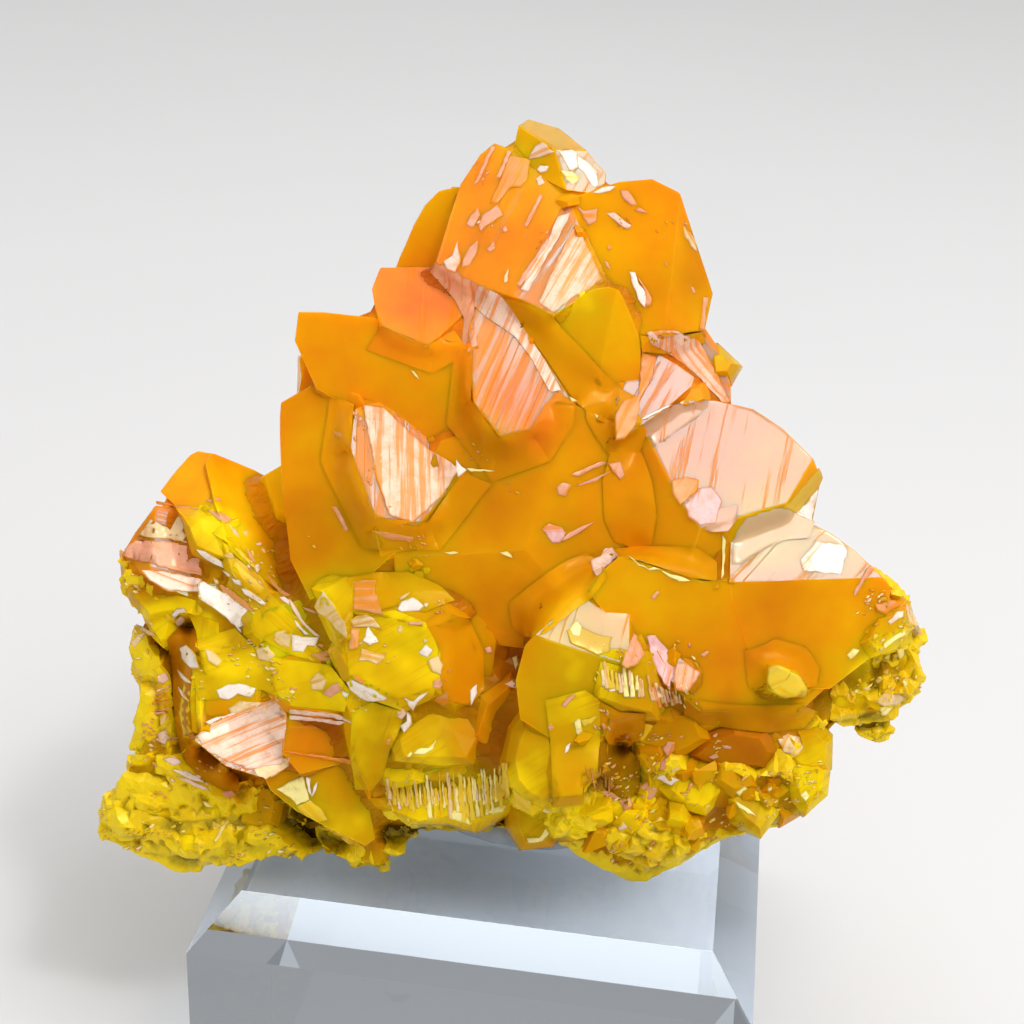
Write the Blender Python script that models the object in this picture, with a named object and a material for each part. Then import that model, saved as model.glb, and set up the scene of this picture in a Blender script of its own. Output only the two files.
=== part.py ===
"""Orpiment crystals on their matrix, fixed with putty on a clear bevelled block.

The specimen is laid out from one viewpoint in front of it. An outline is a list of picture
points (pixels of a 1024 by 1024 picture, x right and y down) and a depth in millimetres
towards that viewpoint, counted from a plane through the middle of the specimen.
Every crystal is cleaved: a block of stone is cut by the flat planes of the crystal's faces.
The origin is the middle of the block's underside, +Z is up and the viewpoint is at -Y.
"""

import math
import random

import bmesh
import bpy
from mathutils import Matrix, Vector

MM = 0.001

# Driving dimensions
BLOCK_SIDE = 38 * MM
BLOCK_HEIGHT = 19 * MM
BEVEL_WIDTH = 3.05 * MM
BEVEL_HEIGHT = 3.4 * MM
PUTTY_RADIUS = 9.8 * MM
PUTTY_THICKNESS = 2.0 * MM
PUTTY_MIDDLE = Vector((2, 0.5, 0)) * MM
FIT_GAP = 0.3 * MM
STONE_BLANK = 130 * MM

# Viewpoint that the outlines are drawn from
VIEW_AZIMUTH = math.radians(6.98)
VIEW_ELEVATION = math.radians(26.75)
VIEW_ROLL = math.radians(2.80)
VIEW_FOCAL = 1800
PICTURE_MIDDLE = 512
EYE = Vector((12.75, -110.16, 97.56)) * MM
SPECIMEN_MIDDLE = Vector((0, -6, 43)) * MM


def view_axes():
    """Picture right, picture up and the direction back to the eye."""
    a, e, r = VIEW_AZIMUTH, VIEW_ELEVATION, VIEW_ROLL
    right = Vector((math.cos(a), math.sin(a), 0))
    up = Vector((-math.sin(a) * math.sin(e), math.cos(a) * math.sin(e), math.cos(e)))
    back = Vector((math.sin(a) * math.cos(e), -math.cos(a) * math.cos(e), math.sin(e)))
    tilted_right = right * math.cos(r) + up * math.sin(r)
    tilted_up = up * math.cos(r) - right * math.sin(r)
    return tilted_right, tilted_up, back


RIGHT, UP, BACK = view_axes()
MIDDLE_DISTANCE = (EYE - SPECIMEN_MIDDLE).dot(BACK)


def sight(x, y):
    """Direction of the sight line through a picture point, one unit long along the view."""
    across = (x - PICTURE_MIDDLE) / VIEW_FOCAL
    upwards = (PICTURE_MIDDLE - y) / VIEW_FOCAL
    return RIGHT * across + UP * upwards - BACK


def place(x, y, depth):
    """World point of a picture point at a depth in millimetres."""
    return EYE + sight(x, y) * (MIDDLE_DISTANCE - depth * MM)


def through(first, second, third):
    """Plane through three (x, y, depth) points, facing the viewpoint."""
    a, b, c = place(*first), place(*second), place(*third)
    normal = (b - a).cross(c - a).normalized()
    if normal.dot(BACK) < 0:
        normal = -normal
    return a, normal


def leaning(x, y, depth, right, up):
    """Plane at a picture point, turned to the right and upwards by slopes."""
    normal = (BACK + RIGHT * right + UP * up).normalized()
    return place(x, y, depth), normal


def cleave(planes, grow=0.0):
    """Solid left when a blank is cut by planes, each moved outwards by grow."""
    bm = bmesh.new()
    bmesh.ops.create_cube(bm, size=STONE_BLANK, matrix=Matrix.Translation(SPECIMEN_MIDDLE))
    for point, normal in planes:
        whole = bm.verts[:] + bm.edges[:] + bm.faces[:]
        cut = bmesh.ops.bisect_plane(
            bm, geom=whole, plane_co=point + normal * grow, plane_no=normal, clear_outer=True
        )
        rim = [e for e in cut["geom_cut"] if isinstance(e, bmesh.types.BMEdge)]
        bmesh.ops.holes_fill(bm, edges=rim, sides=0)
    bmesh.ops.recalc_face_normals(bm, faces=bm.faces)
    return bm


def turned_away(x, y, depth, right, up):
    """Plane on the far side of the specimen, at a picture point and depth."""
    normal = (-BACK + RIGHT * right + UP * up).normalized()
    return place(x, y, depth), normal


def crystal(outline, faces, thickness, flare=-9, rear=()):
    """Planes of a crystal: front faces, a side face on each outline edge, and rear faces.

    A side face falls away from the viewpoint and spreads by the flare, in degrees, which an
    outline point can give for the edge that starts there. Three planes point the far end.
    """
    corners = []
    for x, y, *_ in outline:
        ray = sight(x, y)
        reach = max((point - EYE).dot(normal) / ray.dot(normal) for point, normal in faces)
        corners.append(EYE + ray * reach)
    middle = sum(corners, Vector()) / len(corners)
    away = (middle - EYE).normalized()
    planes = list(faces)
    for i, corner in enumerate(corners):
        edge = (corners[(i + 1) % len(corners)] - corner).normalized()
        outward = edge.cross(away).normalized()
        if outward.dot(corner - middle) < 0:
            outward = -outward
        spread = math.radians(outline[i][2] if len(outline[i]) > 2 else flare)
        fall = away * math.cos(spread) + outward * math.sin(spread)
        normal = edge.cross(fall).normalized()
        if normal.dot(outward) < 0:
            normal = -normal
        planes.append((corner, normal))
    planes.append((middle + away * thickness * MM, away))
    size = max((corner - middle).cross(away).length for corner in corners)
    deepest = max((corner - middle).dot(away) for corner in corners)
    start = middle + away * max(thickness * MM - size, deepest + size * 0.3)
    for turn in (20, 140, 260):
        outward = RIGHT * math.cos(math.radians(turn)) + UP * math.sin(math.radians(turn))
        planes.append((start + outward * size * 0.75, (away + outward * 0.9).normalized()))
    planes.extend(rear)
    return planes


def top_crystals():
    tip = crystal(
        [(514, 146), (518, 126), (528, 119), (563, 129), (586, 150), (606, 171), (605, 184),
         (590, 193), (566, 190), (530, 172)],
        [through((518, 126, -3.0), (559, 151, -1.0), (530, 170, -2.0)),
         through((518, 126, -3.0), (559, 151, -1.0), (575, 138, -3.0)),
         leaning(578, 165, -1.2, 0.28, 0.39)],
        thickness=10,
    )
    twin_prism = crystal(
        [(494, 143), (513, 150), (569, 200), (604, 281, 15), (591, 290, 30), (553, 316, 30),
         (484, 288, 20), (435, 262), (461, 184), (480, 154)],
        [through((569, 200, -0.24), (515, 287, 2.9), (461, 184, -1.5)),
         leaning(575, 260, 1.2, 0.26, 0.39)],
        thickness=15,
    )
    right_block = crystal(
        [(560, 201), (593, 190), (619, 182), (652, 179), (679, 192), (713, 293), (705, 330),
         (640, 335), (600, 300)],
        [leaning(640, 250, 0.7, -0.10, 0.20), leaning(692, 240, -0.1, 0.75, 0.10)],
        thickness=17,
    )
    left_ear = crystal(
        [(395, 268), (400, 256), (415, 225), (426, 206), (440, 191), (459, 186), (485, 200),
         (480, 290), (410, 290)],
        [leaning(430, 235, -3.4, -0.35, 0.15)],
        thickness=10,
    )
    peach = crystal(
        [(371, 290), (380, 268), (435, 266), (456, 273), (469, 286), (463, 314, 30), (438, 337, 40),
         (426, 347, 40), (382, 327, 30), (374, 306)],
        [leaning(420, 300, 1.6, 0.14, 0.52)],
        thickness=12,
    )
    return [tip, twin_prism, right_block, left_ear, peach]


def middle_crystals():
    long_face = leaning(515, 360, 2.6, 0.27, 0.39)
    diagonal = crystal(
        [(469, 330, 5), (482, 284), (496, 284), (561, 384), (556, 397, 35), (546, 415, 35),
         (531, 429, 35), (500, 436, 30), (473, 402, 10)],
        [long_face],
        thickness=16,
    )
    beam = crystal(
        [(494, 286), (505, 281), (640, 385), (614, 421, 20), (574, 408, 30), (556, 397)],
        [long_face, through((493, 286, 1.1), (574, 405, 2.7), (600, 350, -0.8))],
        thickness=14,
    )
    olive = crystal(
        [(545, 325), (549, 314), (569, 302), (592, 289), (609, 286), (620, 291), (631, 315),
         (641, 341), (640, 377), (638, 396), (619, 403)],
        [leaning(580, 330, 2.4, -0.18, 0.02), leaning(620, 340, 2.4, 0.35, -0.08)],
        thickness=12,
    )
    red_wedge = crystal(
        [(640, 318), (662, 317), (706, 329), (718, 347), (731, 385), (731, 406), (715, 402),
         (690, 392), (650, 360)],
        [leaning(690, 360, -0.6, 0.38, 0.12)],
        thickness=13,
    )
    fold = crystal(
        [(636, 345), (656, 352), (677, 364), (694, 377), (691, 387), (660, 414), (618, 442),
         (614, 425), (616, 400)],
        [leaning(655, 390, 1.8, 0.23, 0.39)],
        thickness=12,
    )
    shoulder = crystal(
        [(590, 460), (620, 425), (686, 400), (715, 401), (753, 410), (783, 429), (814, 459),
         (822, 478), (813, 522), (790, 590), (640, 610), (570, 580)],
        [leaning(730, 465, 1.5, 0.20, 0.39),
         through((641, 425, 1.6), (672, 497, 2.9), (600, 520, 0.9)),
         through((672, 497, 2.9), (700, 529, 3.5), (640, 580, 1.6)),
         through((700, 529, 3.5), (739, 522, 2.6), (720, 580, 1.8)),
         through((814, 459, 0.2), (784, 508, 1.9), (822, 500, -1.5))],
        thickness=22,
    )
    return [diagonal, beam, olive, red_wedge, fold, shoulder]


def body_crystals():
    upper_left = crystal(
        [(299, 311), (326, 312), (375, 319), (475, 347), (520, 440), (470, 472), (316, 390),
         (295, 341)],
        [through((376, 399, 2.0), (466, 470, 1.95), (470, 340, 2.6))],
        thickness=20,
    )
    middle_left = crystal(
        [(281, 403), (316, 383), (360, 395), (400, 460), (420, 530), (370, 575), (310, 600),
         (290, 560), (282, 485), (280, 419)],
        [leaning(325, 470, 1.4, -0.34, 0.0)],
        thickness=20,
    )
    vertical_face = crystal(
        [(355, 409), (378, 402), (395, 412), (427, 434), (466, 470, 30), (423, 522, 40),
         (416, 526, 50), (376, 517, 30), (369, 504, 8), (350, 447, 4)],
        [leaning(410, 465, 3.0, 0.32, 0.39)],
        thickness=14,
    )
    centre = crystal(
        [(440, 440), (560, 400), (613, 420), (650, 460), (680, 530), (640, 640), (540, 650),
         (440, 640), (395, 590), (395, 540)],
        [leaning(460, 553, 3.4, -0.12, 0.10),
         through((423, 553, 3.2), (505, 554, 3.7), (480, 640, 0.9)),
         leaning(548, 560, 3.3, 0.36, -0.06),
         through((505, 554, 3.7), (548, 575, 3.3), (500, 660, 0.9))],
        thickness=26,
    )
    broad_face = through((730, 581, 3.4), (842, 579, 2.0), (770, 690, 2.5))
    right_body_left = crystal(
        [(588, 590), (597, 576), (620, 556), (641, 562), (703, 581), (770, 604), (770, 700),
         (700, 712), (640, 655)],
        [broad_face],
        thickness=20,
    )
    right_body_low = crystal(
        [(700, 581), (740, 580), (842, 578), (880, 640), (800, 712), (700, 712), (650, 650)],
        [broad_face],
        thickness=20,
    )
    right_body = crystal(
        [(731, 600), (730, 526), (739, 513), (769, 508), (798, 516), (832, 533), (855, 551),
         (891, 587), (880, 650), (830, 690), (760, 690)],
        [leaning(790, 545, 1.8, 0.18, 0.39),
         through((730, 581, 3.45), (842, 579, 2.05), (770, 690, 2.6))],
        thickness=22,
    )
    return [upper_left, middle_left, vertical_face, centre, right_body_left, right_body_low,
            right_body]


def left_crystals():
    ear_tip = crystal(
        [(155, 504), (156, 497), (176, 471), (190, 455), (198, 451), (211, 453), (253, 469),
         (240, 560), (200, 528)],
        [through((156, 499, -4.4), (203, 508, -3.2), (200, 455, -6.4)),
         through((215, 457, -5.9), (221, 500, -3.4), (310, 560, -5.5))],
        thickness=14,
    )
    ear = crystal(
        [(205, 462), (211, 453), (253, 469), (312, 500), (316, 612), (290, 602), (230, 552),
         (213, 500)],
        [through((215, 457, -5.9), (221, 500, -3.4), (310, 560, -5.5))],
        thickness=16,
    )
    striped = crystal(
        [(122, 555), (135, 533), (155, 505), (203, 510), (232, 530), (225, 600), (196, 600),
         (161, 586), (138, 570)],
        [leaning(170, 555, -2.6, 0.42, 0.38),
         through((122, 555, -4.6), (146, 522, -3.6), (150, 560, -2.0))],
        thickness=13,
    )
    white_chip = crystal(
        [(196, 583), (215, 583), (242, 600), (262, 615), (255, 641), (222, 616), (198, 598)],
        [leaning(225, 610, -1.4, 0.40, 0.34)],
        thickness=13,
    )
    olive_slope = crystal(
        [(194, 512), (205, 503), (232, 528), (300, 610), (322, 638), (262, 642), (225, 600)],
        [leaning(240, 560, -2.6, 0.0, 0.12)],
        thickness=14,
    )
    fan = crystal(
        [(194, 740), (205, 726), (230, 712), (272, 694), (290, 709), (289, 760), (262, 778),
         (226, 766)],
        [leaning(240, 735, 0.1, 0.40, 0.36)],
        thickness=14,
    )
    fan_side = crystal(
        [(285, 709), (352, 717), (359, 736), (357, 760), (300, 775), (282, 754)],
        [through((289, 709, 0.1), (284, 754, 0.4), (355, 740, -1.0))],
        thickness=14,
    )
    flap = crystal(
        [(262, 772), (290, 752), (357, 750), (366, 790), (376, 839), (366, 847), (326, 827),
         (296, 811), (270, 790)],
        [leaning(330, 790, -1.4, 0.10, -0.30)],
        thickness=9,
    )
    inner = [
        crystal([(346, 640), (350, 578), (381, 578), (402, 586), (400, 650), (372, 668),
                 (350, 660)], [leaning(370, 620, 1.8, -0.30, 0.05)], thickness=16),
        crystal([(378, 590), (400, 580), (440, 590), (462, 618), (452, 660), (415, 672),
                 (384, 640)], [leaning(415, 625, 2.6, 0.05, 0.10)], thickness=18),
        crystal([(440, 598), (470, 600), (497, 640), (492, 690), (450, 700), (428, 660)],
                [leaning(455, 645, 2.0, 0.30, -0.05)], thickness=17),
        crystal([(325, 662), (352, 648), (392, 660), (400, 690), (375, 716), (340, 702)],
                [leaning(360, 680, 1.0, -0.10, -0.15)], thickness=15),
        crystal([(384, 668), (420, 655), (460, 668), (474, 700), (440, 724), (398, 716)],
                [leaning(425, 690, 1.9, 0.02, -0.20)], thickness=16),
        crystal([(262, 612), (300, 600), (330, 630), (338, 660), (300, 680), (262, 650)],
                [leaning(300, 640, 0.2, 0.05, 0.05)], thickness=14),
    ]
    blade = crystal(
        [(315, 606), (323, 590), (347, 638), (330, 640)],
        [leaning(330, 615, 0.6, 0.38, 0.36)],
        thickness=10,
    )
    return [ear_tip, ear, striped, white_chip, olive_slope, fan, fan_side, flap, *inner, blade]


def front_crystals():
    pale_fan = crystal(
        [(524, 644), (550, 619), (580, 597), (599, 596), (631, 615), (630, 640), (618, 700),
         (604, 736), (560, 745), (520, 720), (515, 680)],
        [leaning(590, 618, 5.2, 0.23, 0.39),
         through((525, 643, 6.3), (616, 652, 6.0), (570, 720, 5.4))],
        thickness=20,
    )
    twin_chips = [
        crystal([(622, 665), (636, 631), (645, 646), (633, 670)],
                [leaning(634, 655, 4.6, 0.22, 0.38)], thickness=9),
        crystal([(645, 642), (653, 634), (702, 675), (687, 695), (660, 672)],
                [leaning(670, 664, 4.2, 0.21, 0.38)], thickness=9),
    ]
    ledge = crystal(
        [(767, 669), (778, 664), (798, 673), (808, 688), (789, 698), (768, 690)],
        [leaning(785, 680, 4.2, 0.0, -0.15)],
        thickness=6,
    )
    tall_blades = [
        crystal([(520, 780), (528, 735), (536, 710), (551, 735), (552, 770), (545, 800)],
                [leaning(536, 750, 3.4, -0.25, -0.05)], thickness=10),
        crystal([(548, 775), (568, 724), (590, 726), (606, 733), (597, 750), (570, 790)],
                [leaning(575, 750, 3.6, 0.10, 0.05)], thickness=10),
    ]
    olive_blade = crystal(
        [(386, 770), (405, 745), (441, 712), (489, 705), (486, 740), (460, 765), (392, 782)],
        [leaning(440, 745, 1.2, -0.05, -0.05)],
        thickness=9,
    )
    return [pale_fan, *twin_chips, ledge, *tall_blades, olive_blade]


def stubby_crystal(x, y, depth, width, length, azimuth, elevation, seed):
    """Planes of a short prism round a picture point, its point turned to a compass direction."""
    chance = random.Random(seed)
    a, e = math.radians(azimuth), math.radians(elevation)
    axis = Vector((math.sin(a) * math.cos(e), -math.cos(a) * math.cos(e), math.sin(e)))
    side = axis.orthogonal().normalized()
    middle = place(x, y, depth)
    planes = []
    angle = chance.uniform(0, 60)
    for turn in (0, 58, 118, 180, 238, 300):
        normal = side.copy()
        normal.rotate(Matrix.Rotation(math.radians(turn + angle), 3, axis))
        reach = width / 2 * chance.uniform(0.78, 1.12) * MM
        planes.append((middle + normal * reach, normal))
        if turn in (0, 118, 238):
            slanted = (axis * chance.uniform(0.7, 1.3) + normal).normalized()
            tip = middle + axis * length / 2 * MM * chance.uniform(0.8, 1)
            planes.append((tip + normal * reach * 0.3, slanted))
    lean = (axis + side * chance.uniform(-0.5, 0.5)).normalized()
    planes.append((middle + axis * length / 2 * MM, lean))
    planes.append((middle - axis * length / 2 * MM, -axis))
    return planes


def rear_crystals():
    """Crystals of the far side and the flanks, with their free faces away from the viewpoint."""
    crest = crystal(
        [(470, 175), (530, 180), (640, 190), (690, 250), (695, 330), (560, 420), (440, 400),
         (415, 290)],
        [leaning(560, 300, -4.0, 0, 0)], thickness=18, flare=2,
        rear=[turned_away(520, 250, -13.0, -0.25, 0.45), turned_away(620, 300, -15.0, 0.5, 0.2)],
    )
    left_back = crystal(
        [(310, 335), (400, 300), (520, 400), (520, 560), (400, 600), (292, 560), (292, 430)],
        [leaning(400, 450, -5.0, 0, 0)], thickness=20, flare=2,
        rear=[turned_away(330, 450, -15.0, -0.5, 0.1), turned_away(430, 400, -17.0, 0.1, 0.55)],
    )
    right_back = crystal(
        [(560, 420), (690, 370), (780, 470), (800, 560), (700, 640), (560, 600)],
        [leaning(690, 480, -5.0, 0, 0)], thickness=22, flare=2,
        rear=[turned_away(640, 450, -16.0, 0.0, 0.5), turned_away(770, 520, -12.0, 0.7, 0.1)],
    )
    root = crystal(
        [(235, 660), (250, 600), (330, 570), (420, 560), (640, 560), (720, 620), (700, 700),
         (620, 770), (480, 790), (330, 800), (250, 770)],
        [leaning(480, 680, -6.0, 0, 0)], thickness=11, flare=-20,
    )
    flanks = [
        stubby_crystal(612, 280, -11, 8, 13, 120, 35, 1),
        stubby_crystal(500, 290, -12, 9, 14, 200, 40, 2),
        stubby_crystal(632, 405, -13, 9, 14, 140, 25, 3),
        stubby_crystal(718, 505, -9, 9, 13, 100, 20, 4),
        stubby_crystal(790, 622, -9, 9, 12, 105, 0, 5),
        stubby_crystal(700, 580, -15, 11, 16, 150, 15, 6),
        stubby_crystal(560, 460, -18, 12, 16, 175, 30, 7),
        stubby_crystal(372, 405, -11, 9, 13, 245, 25, 8),
        stubby_crystal(430, 470, -16, 11, 15, 215, 25, 9),
        stubby_crystal(330, 520, -9, 9, 13, 265, 10, 10),
        stubby_crystal(240, 540, -10, 7, 11, 255, 20, 11),
        stubby_crystal(390, 600, -17, 10, 14, 220, 5, 12),
        stubby_crystal(560, 610, -21, 11, 12, 185, 10, 13),
        stubby_crystal(240, 640, -13, 8, 11, 240, 5, 14),
    ]
    return [crest, left_back, right_back, root, *flanks]


def matrix_slabs():
    """Flat-sided pieces of the matrix that make its outline."""
    left_lobe = crystal(
        [(121, 556), (205, 600), (212, 640), (190, 662), (148, 620), (126, 590)],
        [leaning(165, 605, -3.0, -0.3, -0.2)], thickness=10,
    )
    wing = [
        crystal([(131, 645), (136, 626), (150, 632), (171, 676), (174, 712), (142, 700)],
                [leaning(155, 670, -5.0, -0.4, 0.0)], thickness=10),
        crystal([(142, 686), (172, 680), (180, 755), (131, 750), (136, 720)],
                [leaning(155, 720, -5.0, -0.4, -0.1)], thickness=10),
    ]
    groove_floor = [
        crystal([(165, 640), (205, 640), (205, 745), (172, 735)],
                [leaning(190, 700, -7.5, 0.0, 0.0)], thickness=9),
        crystal([(168, 700), (205, 700), (240, 780), (240, 795), (195, 785)],
                [leaning(200, 750, -7.5, 0.0, -0.1)], thickness=9),
    ]
    wing_foot = [
        crystal([(131, 752), (180, 753), (226, 789), (240, 862), (182, 875), (98, 837), (98, 826)],
                [leaning(175, 815, -4.6, -0.1, -0.3)], thickness=12),
        crystal([(210, 784), (262, 793), (268, 850), (258, 858), (215, 869)],
                [leaning(240, 820, -4.4, 0.2, -0.3)], thickness=12),
    ]
    left_ridge = [
        crystal([(195, 600), (225, 613), (256, 641), (262, 700), (240, 740), (196, 742), (189, 724),
                 (190, 650)], [leaning(225, 680, -1.6, -0.1, 0.0)], thickness=14),
        crystal([(240, 640), (300, 640), (335, 690), (345, 716), (240, 740)],
                [leaning(290, 680, -0.9, 0.1, 0.1)], thickness=14),
    ]
    left_keel = [
        crystal([(241, 789), (262, 782), (322, 826), (322, 851), (285, 855), (257, 858), (240, 850)],
                [leaning(290, 830, -5.0, 0.0, -0.3)], thickness=11),
        crystal([(310, 822), (330, 828), (384, 851), (393, 874), (370, 868), (340, 862),
                 (312, 845)], [leaning(350, 850, -4.3, 0.0, -0.2)], thickness=11),
    ]
    fibrous_ledge = crystal(
        [(376, 800), (392, 785), (432, 774), (490, 766), (508, 767), (513, 797), (463, 822),
         (426, 831), (386, 816)],
        [leaning(450, 795, -0.5, 0.0, -0.35)], thickness=10,
    )
    middle_keel = [
        crystal([(370, 800), (415, 805), (415, 838), (393, 855), (383, 851)],
                [leaning(395, 830, -3.6, 0.0, -0.3)], thickness=11),
        crystal([(400, 810), (514, 780), (530, 835), (526, 841), (490, 846), (440, 836),
                 (402, 838)], [leaning(450, 825, -3.6, 0.0, -0.3)], thickness=11),
    ]
    right_edge = [
        crystal([(845, 600), (872, 569), (906, 596), (924, 639), (911, 652), (860, 668),
                 (838, 650)], [leaning(880, 620, -2.0, 0.5, 0.1)], thickness=13),
        crystal([(838, 645), (911, 652), (923, 678), (910, 700), (885, 722), (845, 728), (826, 712),
                 (830, 690)], [leaning(875, 685, -2.2, 0.3, -0.2)], thickness=13),
        crystal([(846, 705), (891, 718), (893, 732), (875, 746), (858, 735)],
                [leaning(872, 728, -3.5, 0.2, -0.3)], thickness=8),
    ]
    right_foot = [
        crystal([(640, 700), (784, 710), (826, 718), (828, 758), (822, 785), (789, 818),
                 (765, 833), (700, 838), (620, 780)],
                [leaning(730, 770, 0.6, 0.1, -0.3)], thickness=18),
        crystal([(600, 740), (690, 760), (735, 832), (689, 858), (646, 881), (628, 885),
                 (613, 874), (590, 850)], [leaning(650, 815, -1.5, 0.0, -0.4)], thickness=15),
        crystal([(540, 760), (600, 735), (625, 800), (625, 872), (612, 873), (580, 858),
                 (555, 838)], [leaning(590, 800, -0.7, 0.0, -0.4)], thickness=15),
        crystal([(512, 800), (522, 775), (560, 735), (590, 760), (570, 845), (526, 841)],
                [leaning(550, 800, -0.8, -0.1, -0.4)], thickness=15),
    ]
    return [left_lobe, *wing, *groove_floor, *wing_foot, *left_ridge, *left_keel,
            fibrous_ledge, *middle_keel, *right_edge, *right_foot]


def boulder(x, y, depth, size, seed, detail=2):
    """Lump of matrix at a picture point: a jittered ball, sized right, up and along the view."""
    chance = random.Random(seed)
    bm = bmesh.new()
    bmesh.ops.create_icosphere(bm, subdivisions=detail, radius=1)
    turn = Matrix.Rotation(chance.uniform(0, 6.28), 3, Vector((0.3, 0.5, 0.8)))
    centre = place(x, y, depth)
    for v in bm.verts:
        p = turn @ v.co * chance.uniform(0.86, 1.1)
        v.co = centre + (RIGHT * p.x * size[0] + UP * p.y * size[1] + BACK * p.z * size[2]) * MM
    return bm


# Lumps of the matrix: picture x and y, depth, size to the right, upwards and along the view
CORE_LUMPS = [
    (480, 690, -13, (19, 9, 11)),
    (330, 700, -12, (13, 8, 8)),
    (650, 700, -12, (14, 8, 9)),
    (480, 560, -18, (16, 12, 7)),
    (720, 640, -12, (9, 7, 8)),
    (280, 640, -12, (9, 8, 7)),
    (800, 650, -8, (6, 5, 6)),
    (222, 745, -11, (5, 5, 5)),
]


def clear_scene():
    for obj in list(bpy.data.objects):
        bpy.data.objects.remove(obj)


def new_collection(name):
    collection = bpy.data.collections.new(name)
    bpy.context.scene.collection.children.link(collection)
    return collection


def material(name, colour, roughness, metallic=0.0, transmission=0.0):
    looks = bpy.data.materials.new(name)
    looks.use_nodes = True
    principled = looks.node_tree.nodes["Principled BSDF"]
    principled.inputs["Base Color"].default_value = (*colour, 1)
    principled.inputs["Roughness"].default_value = roughness
    principled.inputs["Metallic"].default_value = metallic
    principled.inputs["Transmission Weight"].default_value = transmission
    looks.diffuse_color = (*colour, 1)
    return looks


def new_object(name, bm, collection):
    mesh = bpy.data.meshes.new(name)
    bm.to_mesh(mesh)
    bm.free()
    obj = bpy.data.objects.new(name, mesh)
    collection.objects.link(obj)
    return obj


def helper_object(name, bm, collection):
    obj = new_object(name, bm, collection)
    obj.hide_render = True
    obj.display_type = "WIRE"
    return obj


def boolean(obj, operation, collection):
    modifier = obj.modifiers.new(operation.lower(), "BOOLEAN")
    modifier.operation = operation
    modifier.operand_type = "COLLECTION"
    modifier.collection = collection
    modifier.solver = "EXACT"


# Bumps and pits of the matrix's near side, given as the lumps are
BUMPS = [
    (690, 750, -0.8, (5.2, 3.0, 3.2)),
    (768, 750, -1.2, (3.7, 3.3, 3.2)),
    (740, 790, -2.0, (4.8, 2.4, 3.2)),
    (655, 810, -2.2, (4.2, 3.8, 3.4)),
    (575, 800, -2.4, (3.5, 3.2, 3.2)),
    (150, 812, -6.2, (3.7, 2.1, 3.0)),
    (205, 828, -6.5, (3.8, 2.3, 3.0)),
    (880, 620, -4.4, (2.4, 3.0, 3.4)),
    (872, 690, -4.4, (2.8, 2.1, 3.4)),
]
PITS = [
    (616, 760, 1.6, (1.1, 1.9, 1.8)),
    (708, 750, 2.8, (0.9, 1.0, 1.8)),
]


def add_box(bm, low, high):
    middle = (low + high) / 2
    bmesh.ops.create_cube(bm, size=1, matrix=Matrix.LocRotScale(middle, None, high - low))


def seat_cutters():
    """Room under the specimen for the block and for the putty pad."""
    under = bmesh.new()
    half = BLOCK_SIDE / 2 + FIT_GAP
    add_box(under, Vector((-half, -half, -0.02)), Vector((half, half, BLOCK_HEIGHT + FIT_GAP)))
    seat = bmesh.new()
    top = BLOCK_HEIGHT + FIT_GAP + PUTTY_THICKNESS + FIT_GAP
    pad_slab(seat, PUTTY_RADIUS + FIT_GAP, 0.0, top)
    return [under, seat]


def pad_slab(bm, radius, low, high):
    centre = Matrix.Translation(PUTTY_MIDDLE + Vector((0, 0, (low + high) / 2)))
    bmesh.ops.create_cone(
        bm, segments=28, radius1=radius, radius2=radius, depth=high - low, cap_ends=True,
        matrix=centre,
    )


def keep_largest_body(bm):
    """Removes loose crumbs that a cut leaves."""
    unseen = set(bm.verts)
    bodies = []
    while unseen:
        start = unseen.pop()
        body = {start}
        edge_of_body = [start]
        while edge_of_body:
            vert = edge_of_body.pop()
            for edge in vert.link_edges:
                other = edge.other_vert(vert)
                if other not in body:
                    body.add(other)
                    edge_of_body.append(other)
        unseen -= body
        bodies.append(body)
    bodies.sort(key=len)
    for body in bodies[:-1]:
        bmesh.ops.delete(bm, geom=list(body), context="VERTS")


def applied(obj):
    """Mesh of an object with its modifiers, as a bmesh."""
    bpy.context.view_layer.update()
    graph = bpy.context.evaluated_depsgraph_get()
    bm = bmesh.new()
    bm.from_mesh(bpy.data.meshes.new_from_object(obj.evaluated_get(graph)))
    return bm


def finish_solid(obj):
    """Applies the Booleans and keeps one body."""
    bm = applied(obj)
    keep_largest_body(bm)
    obj.modifiers.clear()
    bm.to_mesh(obj.data)
    bm.free()


def display_block():
    bm = bmesh.new()
    half = BLOCK_SIDE / 2
    add_box(bm, Vector((-half, -half, 0)), Vector((half, half, BLOCK_HEIGHT)))
    for x, y in ((1, 0), (-1, 0), (0, 1), (0, -1)):
        normal = Vector((x * BEVEL_HEIGHT, y * BEVEL_HEIGHT, BEVEL_WIDTH)).normalized()
        edge = Vector((x * half, y * half, BLOCK_HEIGHT - BEVEL_HEIGHT))
        whole = bm.verts[:] + bm.edges[:] + bm.faces[:]
        cut = bmesh.ops.bisect_plane(
            bm, geom=whole, plane_co=edge, plane_no=normal, clear_outer=True
        )
        rim = [e for e in cut["geom_cut"] if isinstance(e, bmesh.types.BMEdge)]
        bmesh.ops.holes_fill(bm, edges=rim, sides=0)
    bmesh.ops.recalc_face_normals(bm, faces=bm.faces)
    return bm


def putty_pad():
    bm = bmesh.new()
    low = BLOCK_HEIGHT + FIT_GAP
    pad_slab(bm, PUTTY_RADIUS, low, low + PUTTY_THICKNESS)
    return bm


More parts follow.
